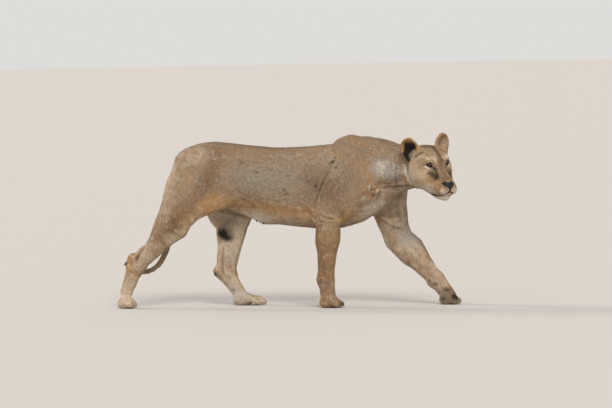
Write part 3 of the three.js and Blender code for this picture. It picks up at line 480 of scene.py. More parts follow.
# %% Lips, chin and brow
CHEEK_FOLD = [(70, 66, -66), (60, 69, -84), (50, 66, -112)]
FACE_LUMPS = [
    ((116, 34, -100), 20, 1.4), ((94, 50, -100), 24, 2.2), ((118, 0, -150), 20, 1.5),
    ((22, 46, 32), 13, 3.2), ((30, 22, 24), 12, 2.0), ((14, 66, -30), 16, 2.2), ((62, 26, -40), 15, -1.6),
    ((-30, 88, -60), 36, 3.0)]


in_face = to_face(skin_points)
head_part = on_parts(head=1, lower_jaw=1, nose=1, eye=1)


def mouth_height(points):
    """How high the lip line lies: it drops from the middle to the sides, then back to the corner."""
    back = np.interp(points[:, 0], [50, 88, 127], [15, 10, 0])
    return -110 - 21 * fade(2, 38, np.abs(points[:, 1])) - back


def nose_width(height):
    """Half the width of the bare nose: broad wings above, a narrow stem down to the lip."""
    return np.interp(height, [-98, -90, -85, -79, -72], [4.5, 6.5, 11, 21, 40])


folded = both_halves(in_face)
below = mouth_height(folded) - in_face[:, 2]
mouth_on = head_part * fade(44, 52, folded[:, 0])
face_rise = (-4.5 * bell(below, 2.6) + 1.6 * bell(below + 6, 5) + 1.0 * bell(below - 7, 5)) * mouth_on
face_rise -= (2.6 * bell(in_face[:, 1], 2.4) * bell(in_face[:, 2] + 101, 9)
              * fade(110, 125, in_face[:, 0]) * head_part)
face_rise -= 2.2 * bell(line_distance(folded, CHEEK_FOLD), 5) * head_part
beside_nose = folded[:, 1] - nose_width(in_face[:, 2])
face_rise -= 2.8 * on_parts(nose=1) * fade(1.5, -1.5, beside_nose)
for place, size, height in FACE_LUMPS:
    face_rise += height * bell(np.linalg.norm(folded - place, axis=1), size) * head_part
skin_points = skin_points + skin_normals * face_rise[:, None] * MM
print("lip line and", len(FACE_LUMPS), "forms of the face")

# %% Lids
OPENING = dict(half_width=18.0, upper=8.6, lower=5.6, slant=math.radians(24),
               outward=math.radians(27), lift=0.10)
LID = dict(sunk=-4.5, edge=2.0, reach=15.0, near=46)  # sunk and edge from the ball, near from its middle


def eye_frame(side):
    """The eye's own directions in the head: out of the opening, towards the nose, and up."""
    s = EYE_SIDES[side]
    out = np.array([math.cos(OPENING["outward"]), s * math.sin(OPENING["outward"]), OPENING["lift"]])
    out /= np.linalg.norm(out)
    inward = np.cross(out, [0, 0, 1.0]) * s
    inward /= np.linalg.norm(inward)
    up = np.cross(inward, out) * s
    up /= np.linalg.norm(up)
    c, n = math.cos(OPENING["slant"]), math.sin(OPENING["slant"])
    return out, inward * c - up * n, up * c + inward * n


def lid_edges(t):
    """The heights of the upper and lower lid, at a share t of the way from the middle to a corner."""
    room = np.clip(1 - t * t, 0, 1)
    return OPENING["upper"] * room ** 1.1, -OPENING["lower"] * room ** 0.9


def round_eye(face_points, side):
    """Which points lie before an eye, and where they are from its middle."""
    offset = face_points - to_face(EYE_CENTRES[side][None])[0]
    close = (np.linalg.norm(offset, axis=1) < LID["near"]) & (offset @ eye_frame(side)[0] > 0.5)
    near = np.nonzero(close)[0]
    return near, offset[near]


def almond(side_points, side):
    """Signed millimetres outside the eye opening, height above its middle line, and way to the nose."""
    out, inward, up = eye_frame(side)
    radius = np.linalg.norm(side_points, axis=1)
    unit = side_points / radius[:, None]
    ball = EYE_RADIUS / MM
    a = ball * np.arctan2(unit @ inward, unit @ out)
    b = ball * np.arcsin(np.clip(unit @ up, -1, 1))
    half = OPENING["half_width"]
    t = np.linspace(-1, 1, 33)
    edge = np.concatenate([np.stack([t * half, lid], 1) for lid in lid_edges(t)])
    away = np.min(np.hypot(a[:, None] - edge[:, 0], b[:, None] - edge[:, 1]), 1)
    upper, lower = lid_edges(a / half)
    inside = (b < upper) & (b > lower) & (np.abs(a) < half)
    return np.where(inside, -away, away), b, a, radius


def shape_lids(points, side):
    face_points = to_face(points)
    near, offset = round_eye(face_points, side)
    away, height, _, radius = almond(offset, side)
    ball = EYE_RADIUS / MM
    rim = ball + LID["sunk"] + (LID["edge"] - LID["sunk"]) * fade(-2.6, 1.2, away)
    outer = fade(2.0, LID["reach"], away)
    wanted = rim * (1 - outer) + radius * outer
    wanted += -1.8 * bell(away - 7.5, 2.2) * (height > 0) - 1.0 * bell(away - 8.0, 2.4) * (height <= 0)
    wanted += 1.6 * bell(away - 12.5, 3.5) * (height > 0)
    moved = face_points.copy()
    moved[near] = to_face(EYE_CENTRES[side][None])[0] + offset * (wanted / radius)[:, None]
    return FACE_MIDDLE + (moved @ HEAD_AXES.T) * MM


for side in EYE_SIDES:
    skin_points = shape_lids(skin_points, side)
skin_points = smooth(skin_points, web, 2, np.full((len(skin_points), 1), 0.8))
skin_points[:, 2] = np.maximum(skin_points[:, 2], FLOOR_GAP)
skin_mesh.vertices.foreach_set("co", skin_points.astype(np.float32).ravel())
skin_mesh.update()
print("lids round both eyes, opening", 2 * OPENING["half_width"], "mm wide")

# %% Thin the skin to a sensible weight
SKIN_TRIANGLES = 188000


def thinned(mesh, triangles):
    mesh.calc_loop_triangles()
    return with_modifier(mesh, "DECIMATE", ratio=triangles / len(mesh.loop_triangles),
                         use_collapse_triangulate=True)


skin_mesh = thinned(skin_mesh, SKIN_TRIANGLES)
skin_mesh.name = "skin"
skin = shown("skin", skin_mesh)
skin_points, skin_faces = mesh_arrays(skin_mesh)
skin_normals = normals_of(skin_points, skin_faces)
skin_owner = owners(skin_points)
web = Web(skin_mesh)
in_body, in_face = to_body(skin_points), to_face(skin_points)
head_part = on_parts(head=1, lower_jaw=1, nose=1, eye=1, ear=1)
print("skin:", len(skin_points), "points", len(skin_faces), "triangles")

# %% [markdown]
# ## Her markings
#
# A lioness is tawny grey above, warm ochre along the flanks, and pale beneath and inside the legs,
# with black only at the lips, eye rims, backs of the ears, heels and tail tuft. The marks could be
# painted on an image, but an image would need an unwrap of the whole skin. Each mark is instead a
# number from 0 to 1 at every point, worked out from where the point is and which way it faces. The
# same numbers are handed to the tufts that grow there, so skin and coat always agree. Some marks
# are painted light, not her own colour: painted shade in the folds, toe grooves, near ear cup, eyes,
# nostrils and under the belly, and paler coat where light falls on her chest, groin and rump.

# %% Marks on the body
# Each spot is a strength, a place and a size: one radius, or one for each direction.
BODY_SPOTS = {
    "pale": [
        # Partly her pale chest, partly painted light: the spot at (412, -80, 570) brightens the chest front
        # as if lit from before her.
        (0.5, (340, -80, 520), (90, 90, 50)), (0.9, (412, -80, 570), (60, 70, 60)),
        (0.5, (500, 60, 560), (70, 90, 60)), (0.35, (-760, -120, 600), (60, 80, 240)),
        # Partly her paler rump, partly a painted highlight: the spot at (-620, -120, 850) brightens the rump
        # top as if sunlit from behind.
        (0.4, (560, -100, 640), (90, 60, 26)), (0.45, (-620, -120, 850), (140, 80, 70)),
        (0.55, (-880, -130, 300), (90, 60, 80)), (0.45, (-730, -125, 690), (60, 60, 140)),
        # Partly her pale belly, partly painted light: these two spots brighten the groin and lower flank,
        # which face the floor, as if lit from below.
        (1.3, (-280, -50, 490), (100, 80, 45)), (0.35, (-60, -100, 490), (200, 60, 40)),
        (0.5, (-1014, -141, 71), (60, 60, 90))],
    "dust": [
        (1.15, (470, -128, 768), (64, 60, 56)), (0.5, (545, -130, 730), (40, 60, 50)),
        (0.8, (560, 70, 400), (80, 60, 90)), (0.5, (-447, 74, 308), (60, 50, 110)),
        (0.8, (-430, 80, 60), (80, 60, 60))],
    "ochre": [
        (0.7, (-530, -135, 560), (60, 60, 60)), (0.5, (-620, -150, 480), (70, 60, 50)),
        (0.45, (-100, -100, 500), (240, 90, 46)), (0.6, (330, -90, 510), (70, 60, 30)),
        (0.8, (270, -120, 490), (60, 70, 40)), (0.7, (420, -120, 618), (60, 60, 40)),
        (0.5, (640, 110, 300), (40, 80, 120)), (0.9, (-975, -100, 230), (40, 60, 70)),
        (0.8, (-565, 100, 190), (34, 40, 44)), (0.9, (-541, 95, 245), (24, 40, 60)),
        (0.6, (120, -110, 40), (50, 50, 40))],
    "brown": [
        (0.2, (-490, -130, 730), (60, 90, 140)), (0.45, (230, -160, 590), (90, 60, 150)),
        (0.5, (-725, -150, 475), (60, 60, 70)), (0.5, (130, -150, 200), (60, 60, 120)),
        (0.4, (-500, 140, 720), (62, 90, 150)), (0.9, (530, -105, 652), (60, 60, 28)),
        (0.5, (140, -150, 660), (90, 60, 80)), (0.6, (470, -125, 690), (90, 60, 40)),
        # Painted shade: the spot at (-480, 60, 480) darkens the inside of her far thigh under the belly.
        (1.3, (-480, 60, 480), (110, 90, 66)), (0.9, (770, 84, 50), (80, 90, 50)),
        (0.35, (60, -150, 720), (120, 60, 110)), (0.3, (400, -110, 830), (110, 90, 60)),
        (0.5, (250, -150, 470), (30, 60, 60))],
    "white": [
        (0.5, (470, -128, 775), (26, 60, 34)), (0.35, (400, -60, 550), (90, 60, 40)),
        # Partly her white groin, partly painted light: the spot at (-270, -45, 480) brightens the groin,
        # which faces the floor.
        (0.9, (-270, -45, 480), (90, 60, 34)), (0.2, (-440, 80, 60), (60, 60, 60))],
    "grey": [
        (0.8, (-300, 0, 720), (170, 400, 90)), (0.8, (-60, 0, 700), (190, 400, 110)),
        (0.7, (200, 0, 700), (130, 400, 130))],
    "dark": [
        (1.1, (-500, 84, 404), (52, 30, 28)), (0.9, (-470, 78, 374), (40, 26, 13)),
        # Painted shade: the spot at (-470, 60, 470) darkens her far thigh under the belly.
        (0.45, (-470, 60, 470), (70, 60, 40)), (0.75, (-446, 72, 88), 9),
        (0.8, (-552, 88, 172), (20, 24, 26)), (0.8, (669, 66, 131), 11),
        (0.7, (703, 60, 114), (18, 14, 9)), (0.5, (790, 84, 44), (70, 90, 44)),
        (0.6, (768, 60, 84), (26, 40, 14)), (0.6, (812, 70, 40), (16, 40, 20)),
        (0.5, (742, 60, 34), (20, 40, 14)), (0.7, (222, -120, 26), (18, 50, 16)),
        (0.6, (244, -150, 520), (12, 30, 26)), (0.5, (-935, -141, 285), (14, 30, 26)),
        # Painted shadow: the spot at (545, -135, 700) darkens the crease behind the ruff.
        (0.55, (545, -135, 700), (14, 30, 20))],
}
FLANK_LINE = [
    (-482, -133, 600), (-392, -110, 570), (-232, -113, 545), (-113, -137, 530), (30, -143, 520)]
THIGH_SHADE = [
    (-486, -120, 850), (-490, -131, 757), (-541, -140, 675), (-624, -157, 560), (-705, -165, 470),
    (-789, -155, 397)]
KNEE_EDGE = [
    (-575, -140, 478), (-655, -155, 428), (-735, -150, 372)]
FLECKS = [
    (-327, -118, 799), (-234, -134, 749), (-165, -136, 765), (-129, -149, 688), (-78, -153, 649),
    (186, -120, 800), (205, -118, 772), (-60, -150, 730), (60, -150, 700)]
fleck_chance = np.random.default_rng(3)
SMALL_FLECKS = [(x, side * 145, z) for side in (-1, 1)
                for x, z in fleck_chance.uniform((-430, 590), (330, 860), (36, 2))]
LEGS = ("upper_arm", "forearm", "fore_paw", "thigh", "shank", "hind_foot", "hind_paw")


def spot(points, place, size):
    """1 at a place and 0 well away from it."""
    return np.exp(-np.sum(((points - place) / np.asarray(size, float)) ** 2, axis=1))


def spots(points, table):
    return sum(strength * spot(points, place, size) for strength, place, size in table)


def side_distance(points, line, depth=0.3):
    """Distance from a line, with less weight across her, so that the line marks a whole side."""
    return line_distance(points * [1, depth, 1], np.array(line) * [1, depth, 1])


which_leg = [(-1 if n.endswith("right") else 1) if n.startswith(LEGS) else 0 for n in NODE_NAMES]
leg_side = np.array(which_leg, float)[skin_owner]
inner = fade(0.05, 0.75, -skin_normals[:, 1] * leg_side)
under = fade(0.15, 0.85, -skin_normals[:, 2])
trunk = on_parts(chest=1, belly=1, rump=1, neck=1)
outer = fade(-0.1, 0.6, skin_normals[:, 1] * leg_side)
low_leg = fade(330, 250, in_body[:, 2])
leg_pale = shares(skin_owner, {"thigh": 0.35, "upper_arm": 0.5, "shank": 1, "forearm": 1}, 0.6)
feet = on_parts(fore_paw=0.3, hind_paw=1, hind_foot=0.8)
flecks = [(1.2, f, (8, 20, 6)) for f in FLECKS] + [(0.75, f, (6, 50, 4.5)) for f in SMALL_FLECKS]
marks = {name: spots(in_body, table) for name, table in BODY_SPOTS.items() if name != "dark"}
marks["dark"] = spots(in_body, flecks + BODY_SPOTS["dark"])
marks["pale"] = (0.85 - 0.4 * low_leg) * inner * leg_pale + 0.30 * under * trunk + 0.5 * feet + marks["pale"]
marks["ochre"] += 0.62 * bell(side_distance(in_body, FLANK_LINE, 0.4), 50)
marks["ochre"] += 0.35 * outer * on_parts(forearm=1, upper_arm=0.2, shank=0.3)
spine = spot(in_body, (-110, 0, 880), (430, 62, 140))
marks["brown"] += 0.8 * fade(0.80, 1.0, skin_normals[:, 2]) * trunk * spine
marks["brown"] += 0.5 * bell(side_distance(in_body, THIGH_SHADE), 58)
marks["pale"] += 0.55 * bell(side_distance(in_body, KNEE_EDGE), 26)
marks["brown"] += 0.42 * outer * on_parts(forearm=1, fore_paw=0.5)
marks["dark"] += 0.95 * on_parts(tail_tip=1) * fade(-935, -985, in_body[:, 0])
# Painted shade darkens the sunk line of each fold, and a painted highlight lightens the raised bank beside
# it.
for line, width, depth in BODY_FOLDS:
    marks["dark"] += 0.17 * depth * bell(line_distance(in_body, line), width * 0.95)
    marks["pale"] += 0.05 * depth * bell(line_distance(in_body, line) - 2.3 * width, width * 0.8)
# Painted shade darkens the grooves between the toes.
for node in PAWS:
    for line in toe_lines(node):
        marks["dark"] += 0.6 * bell(line_distance(in_body, line), 5)
print("body marks:", {k: round(float(v.mean()), 2) for k, v in marks.items()})

# %% Marks on the face
# Spots and lines here fall on both halves of her face, unless they are named below.
FACE_SPOTS = {
    "white": [
        (0.5, (134, 30, -104), (16, 24, 20)), (0.35, (112, 0, -160), (42, 36, 22)),
        (0.25, (84, 40, -158), (30, 26, 12)), (0.5, (-110, 116, -60), (30, 24, 30)),
        (0.4, (-78, 109, -112), (26, 24, 26))],
    "pale": [
        (0.7, (-92, 112, -72), (34, 24, 50)), (0.75, (-30, 104, -76), (60, 40, 40)),
        (0.6, (0, 92, -40), (46, 30, 30)), (1.0, (-6, 60, 38), (22, 20, 15)),
        (0.5, (-90, 96, -20), (40, 30, 40)), (0.45, (30, 60, -120), (50, 30, 30)),
        (0.5, (-20, 80, -122), (50, 40, 20))],
    "ochre": [
        (1.1, (-20, 100, -80), (70, 40, 50)), (0.5, (20, 76, -60), (40, 30, 40)),
        (1.0, (96, 56, -92), (32, 26, 28)), (0.4, (40, 50, -90), (30, 30, 24)),
        (0.5, (-8, 60, 40), (22, 20, 12)), (0.5, (-90, 100, -20), (50, 30, 50))],
    "brown": [
        (0.9, (32, 52, -27), (18, 16, 9)), (1.0, (50, 54, -40), (20, 22, 14)),
        (1.0, (66, 44, -50), (18, 20, 20)), (0.9, (-122, 12, 66), (26, 26, 14)),
        (0.4, (-60, 30, 62), (40, 30, 20)), (0.7, (96, 22, -58), (26, 14, 14)),
        (0.5, (24, 74, -34), (20, 20, 12))],
    "dark": [
        (0.3, (34, 52, -28), (16, 14, 7)), (0.7, (46, 58, -38), (13, 12, 9)),
        (0.95, (66, 40, -42), (14, 13, 16)), (0.55, (62, 54, -56), (9, 12, 9)),
        (1.0, (50, 49, -147), (12, 16, 7)), (0.45, (-122, 14, 66), (18, 14, 14)),
        (0.6, (28, 72, -32), (10, 12, 6)), (0.5, (-105, 24, 66), (7, 8, 10)),
        (0.5, (-135, 11, 64), (7, 8, 10)), (0.5, (-133, 32, 64), (7, 8, 10)),
        (0.5, (-116, 42, 62), (7, 8, 10)), (0.4, (-92, 10, 66), (6, 8, 10))],
}
FACE_LINES = [  # mark, strength, width, line
    ("pale", 0.9, 7, [(36, 31, 4), (24, 28, 20), (2, 20, 42)]),
    ("ochre", 1.0, 6, [(-10, 31, 44), (8, 40, 35)]), ("brown", 0.6, 5, [(-8, 31, 44), (6, 38, 36)]),
    ("dark", 0.8, 6, [(-79, 97, 30), (-77, 79, 44), (-76, 56, 54)]),
    ("pale", 0.9, 6, [(-64, 98, 24), (-62, 80, 40), (-60, 60, 52)]),
    ("brown", 0.6, 8, [(-79, 97, 30), (-77, 79, 44), (-76, 56, 54)]),
    ("brown", 0.85, 19, [(20, 0, 24), (58, 0, -18), (104, 0, -44)]), ("brown", 0.8, 7, CHEEK_FOLD),
    ("dark", 0.3, 4, CHEEK_FOLD), ("dark", 1.1, 5, [(24, 32, -13), (40, 33, -21), (56, 34, -30)]),
    ("dark", 1.0, 5, [(4, 70, 5), (-12, 79, 5)]),
    ("white", 1.4, 4.5, [(-4, 76, -3), (12, 54, -12), (30, 38, -18)]),
    ("ochre", 1.1, 8, [(-124, 78, 109), (-114, 63, 92), (-116, 54, 79)])]
WHISKER_ROWS = [[(118 - 12 * i, 50 + 4.5 * i, -80 - 12 * row + 1.5 * i) for i in range(5)]
                for row in range(4)]
RUFF_EDGE = [(-158, -116, -30), (-139, -116, -66), (-116, -114, -92), (-97, -104, -135)]  # near side only
BROW_LINE = [(-110, 28, 65), (-70, 20, 64), (-38, 15, 58), (-1, 15, 42), (21, 24, 24)]  # one side only
mirrored = both_halves(in_face)
for name, table in FACE_SPOTS.items():
    marks[name] += spots(mirrored, table) * head_part
dots = [(1.5, place, (3.3, 18, 3.0)) for row in WHISKER_ROWS for place in row[:4]]
marks["dark"] += spots(mirrored, dots) * head_part
for row in WHISKER_ROWS:
    marks["brown"] += 0.4 * bell(side_distance(mirrored, row[:4]), 2.4) * head_part
far_ruff = np.abs(RUFF_EDGE) * [-1, 1, -1]
marks["white"] += (1.3 * bell(line_distance(in_face, RUFF_EDGE), 9)
                   + 0.4 * bell(line_distance(mirrored, far_ruff), 12))
marks["dark"] += 0.85 * bell(line_distance(in_face, BROW_LINE), 6.5) * head_part
marks["brown"] += 0.9 * bell(line_distance(in_face, BROW_LINE), 13) * head_part
for name, strength, width, line in FACE_LINES:
    marks[name] += strength * bell(line_distance(mirrored, line), width)
below = mouth_height(in_face) - in_face[:, 2]
marks["white"] += 0.45 * fade(4, 8, below) * fade(64, 92, in_face[:, 0]) * head_part
marks["lip"] = bell(below - 0.6, 4.4) * head_part * fade(42, 49, in_face[:, 0])
at_front = bell(in_face[:, 1], 3.8) * bell(in_face[:, 2] + 102, 9) * fade(110, 125, in_face[:, 0])
marks["lip"] += at_front * head_part
for side in EYE_SIDES:
    close, offset = round_eye(in_face, side)
    away, height, across, _ = almond(offset, side)
    upper = fade(-1.0, 2.0, height)
    for name in ("pale", "ochre"):
        marks[name][close] *= fade(2, 9, away)
    # The black rim round each eye is her own; over the upper lid it widens into painted shade.
    upper_lid_shade = upper * bell(across + 1, 11)
    marks["lip"][close] += fade(3.6 + 6.0 * upper_lid_shade, 2.2 + 4.0 * upper_lid_shade, away)
    marks["dark"][close] += 0.5 * fade(12, 4, away) * fade(0, 16, across) * (1 - upper)
print("face marks over", int(head_part.sum()), "points")

# %% Marks on the ears
EAR_NODES = {"right": "ear_right", "left": "ear_left"}
# Painted shade in the ear cups: 1 paints the near right cup dark as shaded, 0.1 paints the far left cup paler
# and more ochre as lit.
EAR_PAINTED_SHADE = {"right": 1.0, "left": 0.1}
EAR_STREAK = [(-126, 84, 124), (-120, 72, 104), (-114, 63, 92), (-116, 54, 79)]


def ear_directions(side):
    """Where an ear starts on the scalp, its way up, and the way its cup opens."""
    low, high = (np.array(c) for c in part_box(EAR_NODES[side]))
    middle = (low + high) / 2
    points, _ = mesh_arrays(NODES[EAR_NODES[side]].data)
    foot = points[points[:, 2] < low[2] + 0.3 * (high[2] - low[2])].mean(0)
    up = points[points[:, 2] > high[2] - 0.12 * (high[2] - low[2])].mean(0) - foot
    up /= np.linalg.norm(up)
    spread = np.linalg.svd(points - points.mean(0))[2]
    opening = spread[2] - up * (spread[2] @ up)
    opening *= np.sign(opening @ HEAD_AXES[:, 0]) / np.linalg.norm(opening)
    return foot, up, opening, middle


ears = {side: ear_directions(side) for side in EAR_NODES}
ear_inside = np.zeros(len(skin_points))
for side, (foot, up, opening, middle) in ears.items():
    mine = shares(skin_owner, {EAR_NODES[side]: 1}, 0) > 0
    tall = (skin_points[mine] - foot) @ up / 0.09
    facing = skin_normals[mine] @ opening
    inside = fade(0.0, 0.5, facing)
    ear_inside[mine] = inside
    sideways = np.abs((skin_points[mine] - middle) @ np.cross(opening, up)) / MM
    deep = inside * fade(1.0, 0.8, tall) * fade(40, 28, sideways)
    # The near ear's cup is painted dark, brown and black as shade; the far ear's lit cup is painted paler and
    # more ochre.
    marks["dark"][mine] = EAR_PAINTED_SHADE[side] * deep + 0.9 * fade(-0.1, -0.5, facing) * fade(0.9, 0.5, tall)
    marks["brown"][mine] = 0.55 * inside * EAR_PAINTED_SHADE[side]
    marks["ochre"][mine] = 0.95 - 0.40 * (1 - EAR_PAINTED_SHADE[side]) * inside
    marks["pale"][mine] = 0.5 * bell(facing, 0.35) + 0.45 * (1 - EAR_PAINTED_SHADE[side]) * inside
    marks["lip"][mine] = 0.9 * EAR_PAINTED_SHADE[side] * deep * fade(0.85, 0.6, tall)
    streak = bell(line_distance(in_face[mine] * [1, EYE_SIDES[side], 1], EAR_STREAK), 9)
    marks["ochre"][mine] += streak * (1 - EAR_PAINTED_SHADE[side])
    marks["pale"][mine] *= 1 - streak
    marks["white"][mine] = 0
    print(side, "ear up", up.round(2), "opens", opening.round(2))
# Painted shade at the foot of each ear, strong on the near ear and faint on the far one.
for side, sign in EYE_SIDES.items():
    away = line_distance(in_face * [1, sign, 1],
                         [(-150, 96, 50), (-130, 96, 50), (-117, 112, 26), (-112, 120, 8)])
    marks["dark"] += 1.2 * EAR_PAINTED_SHADE[side] * bell(away, 11)
for name in marks:
    marks[name] = np.clip(web.spread(np.clip(marks[name], 0, 1), 1)[:, 0], 0, 1)


def add_number(mesh, name, values):
    mesh.attributes.new(name, "FLOAT", "POINT").data.foreach_set("value", np.asarray(values, np.float32))


marks["leggy"] = np.clip(web.spread(shares(skin_owner, {k: 1 for k in LEGS}, 0), 20)[:, 0], 0, 1)
for name, values in marks.items():
    add_number(skin_mesh, name, values)

# %% [markdown]
# ## Coat colour, built once
#
# Skin and tufts share one node group, so a change of tone is made in one place. It starts from two
# sandy tones that a noise mixes, as a coat does where grey-tipped and tawny hairs grow together,
# then lays each mark over it. The same group also gives the height of short flat hair: two noises
# drawn out along the lie of the coat, one for the trunk and one for the legs.

# %% Helpers for node groups
def new_group(name, inputs, outputs):
    """A node group with named sockets. Returns it and its input and output nodes."""
    group = bpy.data.node_groups.new(name, "ShaderNodeTree")
    for label, kind, value in inputs:
        socket = group.interface.new_socket(label, in_out="INPUT", socket_type=kind)
        socket.default_value = value
    for label, kind in outputs:
        group.interface.new_socket(label, in_out="OUTPUT", socket_type=kind)
    return group, group.nodes.new("NodeGroupInput"), group.nodes.new("NodeGroupOutput")


def add_node(tree, kind, links=(), **settings):
    """A node with its settings, and links or values by input name or number."""
    node = tree.nodes.new(kind)
    for key, value in settings.items():
        setattr(node, key, value)
    for key, value in dict(links).items():
        if isinstance(value, bpy.types.NodeSocket):
            tree.links.new(value, node.inputs[key])
        else:
            node.inputs[key].default_value = value
    return node


def number(tree, name):
    return add_node(tree, "ShaderNodeAttribute", attribute_name=name).outputs["Fac"]


def mix(tree, share, low, high):
    values = {0: share, 6: low, 7: high}
    return add_node(tree, "ShaderNodeMix", values, data_type="RGBA", blend_type="MIX").outputs[2]


def sums(tree, operation, first, second):
    return add_node(tree, "ShaderNodeMath", {0: first, 1: second}, operation=operation).outputs[0]


def noise(tree, place, scale, detail=3.0, rough=0.55):
    values = {"Vector": place, "Scale": scale, "Detail": detail, "Roughness": rough}
    return add_node(tree, "ShaderNodeTexNoise", values).outputs["Fac"]


def stretched(tree, place, scale):
    return add_node(tree, "ShaderNodeMapping", {"Vector": place, "Scale": scale}).outputs[0]


def ranged(tree, value, low, high, out_low=0.0, out_high=1.0):
    return add_node(tree, "ShaderNodeMapRange", {"Value": value, "From Min": low, "From Max": high,
                                                 "To Min": out_low, "To Max": out_high}).outputs[0]


# %% Coat colour
TONES = dict(
    sand=(0.330, 0.226, 0.136, 1), tawny=(0.285, 0.172, 0.094, 1), grey=(0.285, 0.226, 0.166, 1),
    ochre=(0.400, 0.232, 0.098, 1), brown=(0.165, 0.096, 0.052, 1), pale=(0.540, 0.430, 0.315, 1),
    haze=(0.300, 0.248, 0.188, 1), dust=(0.400, 0.365, 0.320, 1), white=(0.680, 0.620, 0.540, 1),
    dark=(0.022, 0.016, 0.012, 1), lip=(0.008, 0.007, 0.007, 1))


def coat_colour_group():
    group, source, result = new_group("coat_colour", [("Mottle", "NodeSocketFloat", 1.0)],
                                      [("Color", "NodeSocketColor"), ("Height", "NodeSocketFloat")])
    place = add_node(group, "ShaderNodeTexCoord").outputs["Object"]
    broad = noise(group, place, 5.5, 2.0)
    patch = noise(group, place, 26.0, 3.0)
    fine = noise(group, place, 120.0, 2.0, 0.6)
    along_trunk = noise(group, stretched(group, place, (60, 150, 190)), 1.0, 3.0, 0.6)
    along_legs = noise(group, stretched(group, place, (190, 190, 50)), 1.0, 3.0, 0.6)
    leggy = number(group, "leggy")
    streak = add_node(group, "ShaderNodeMix", {0: leggy, 2: along_trunk, 3: along_legs},
                      data_type="FLOAT").outputs[0]
    colour = mix(group, ranged(group, broad, 0.35, 0.65), TONES["sand"], TONES["tawny"])
    colour = mix(group, ranged(group, patch, 0.42, 0.66, 0.0, 0.75), colour, TONES["grey"])
    colour = mix(group, ranged(group, number(group, "grey"), 0.1, 0.9), colour, TONES["haze"])
    for name in ("brown", "ochre", "pale", "dust", "white"):
        ragged = sums(group, "ADD", number(group, name), ranged(group, patch, 0.3, 0.7, -0.22, 0.22))
        share = ranged(group, ragged, 0.12, 0.92)
        colour = mix(group, share, colour, TONES[name])
    speckle = ranged(group, streak, 0.28, 0.72, 0.68, 1.30)
    speckle = sums(group, "MULTIPLY", speckle, ranged(group, fine, 0.25, 0.75, 0.86, 1.14))
    lit = add_node(group, "ShaderNodeVectorMath", {0: colour}, operation="SCALE")
    group.links.new(add_node(group, "ShaderNodeMix", {0: source.outputs["Mottle"], 2: 1.0, 3: speckle},
                             data_type="FLOAT").outputs[0],
                    lit.inputs["Scale"])
    ragged = sums(group, "ADD", number(group, "dark"), ranged(group, patch, 0.3, 0.7, -0.12, 0.12))
    colour = mix(group, ranged(group, ragged, 0.10, 0.85), lit.outputs[0], TONES["dark"])
    colour = mix(group, ranged(group, number(group, "lip"), 0.25, 0.7), colour, TONES["lip"])
    group.links.new(colour, result.inputs["Color"])
    group.links.new(sums(group, "ADD", streak, fine), result.inputs["Height"])
    return group


COAT_COLOUR = coat_colour_group()


def new_material(name, settings):
    material = bpy.data.materials.new(name)
    material.use_nodes = True
    shader = material.node_tree.nodes["Principled BSDF"]
    for key, value in settings.items():
        shader.inputs[key].default_value = value
    return material, material.node_tree, shader


def coat_material(name, rough, sheen, bump, bump_depth):
    material, tree, shader = new_material(name, {
        "Roughness": rough, "Sheen Weight": sheen, "Sheen Roughness": 0.45,
        "Sheen Tint": (1.0, 0.86, 0.68, 1), "Specular IOR Level": 0.25})
    colours = add_node(tree, "ShaderNodeGroup", node_tree=COAT_COLOUR)
    tree.links.new(colours.outputs["Color"], shader.inputs["Base Color"])
    if bump:
        height = add_node(tree, "ShaderNodeBump", {"Strength": bump, "Distance": bump_depth,
                                                   "Height": colours.outputs["Height"]})
        tree.links.new(height.outputs[0], shader.inputs["Normal"])
    return material


SKIN_MATERIAL = coat_material("short_coat_on_skin", 0.85, 0.06, 0.6, 0.0024)
TUFT_MATERIAL = coat_material("coat_tufts", 0.78, 0.08, 0, 0)
skin_mesh.materials.clear()
skin_mesh.materials.append(SKIN_MATERIAL)
skin_mesh.polygons.foreach_set("use_smooth", np.ones(len(skin_mesh.polygons), bool))
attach(skin, "root")
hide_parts(*[n for n in NODE_NAMES if n not in ("nose", "eye_left", "eye_right")])
print("coat materials ready")

# %% [markdown]
# ## Eyes
#
# A lion's eye is a ball with a clear bulge in front, an amber iris and a round pupil. The ball is
# turned out of a profile: a sphere whose front swells where the cornea is. The iris is painted by
# how far a point is from the line of sight, so it stays put from every side, and a clear coat over
# it gives the wet glint. The amber is darkened by painted shade from the upper lid.

# %% Turn the eyes
CORNEA = dict(half_angle=0.62, bulge=0.055)
GAZE = {"right": (0.96, -0.27, -0.02), "left": (0.98, 0.12, -0.02)}


def eye_mesh(radius):
    """A ball turned about its line of sight, +Z, with the cornea's swelling."""
    rings, around = 48, 48
    angles = np.linspace(0.0, math.pi, rings)
    swell = 1 + CORNEA["bulge"] * np.clip(1 - (angles / CORNEA["half_angle"]) ** 2, 0, 1)
    turn = np.linspace(0, 2 * math.pi, around, endpoint=False)
    r = radius * swell * np.sin(angles)
    height = radius * swell * np.cos(angles)
    points = np.stack([np.outer(r, np.cos(turn)), np.outer(r, np.sin(turn)),
                       np.repeat(height[:, None], around, 1)], 2)
    index = np.arange(rings * around).reshape(rings, around)
    following = np.roll(index, -1, 1)
    faces = np.stack([index[:-1], index[1:], following[1:], following[:-1]], 2).reshape(-1, 4)
    mesh = mesh_from("eye", points.reshape(-1, 3), faces)
    work = bmesh.new()
    work.from_mesh(mesh)
    bmesh.ops.remove_doubles(work, verts=work.verts, dist=1e-6)
    work.to_mesh(mesh)
    work.free()
    return mesh


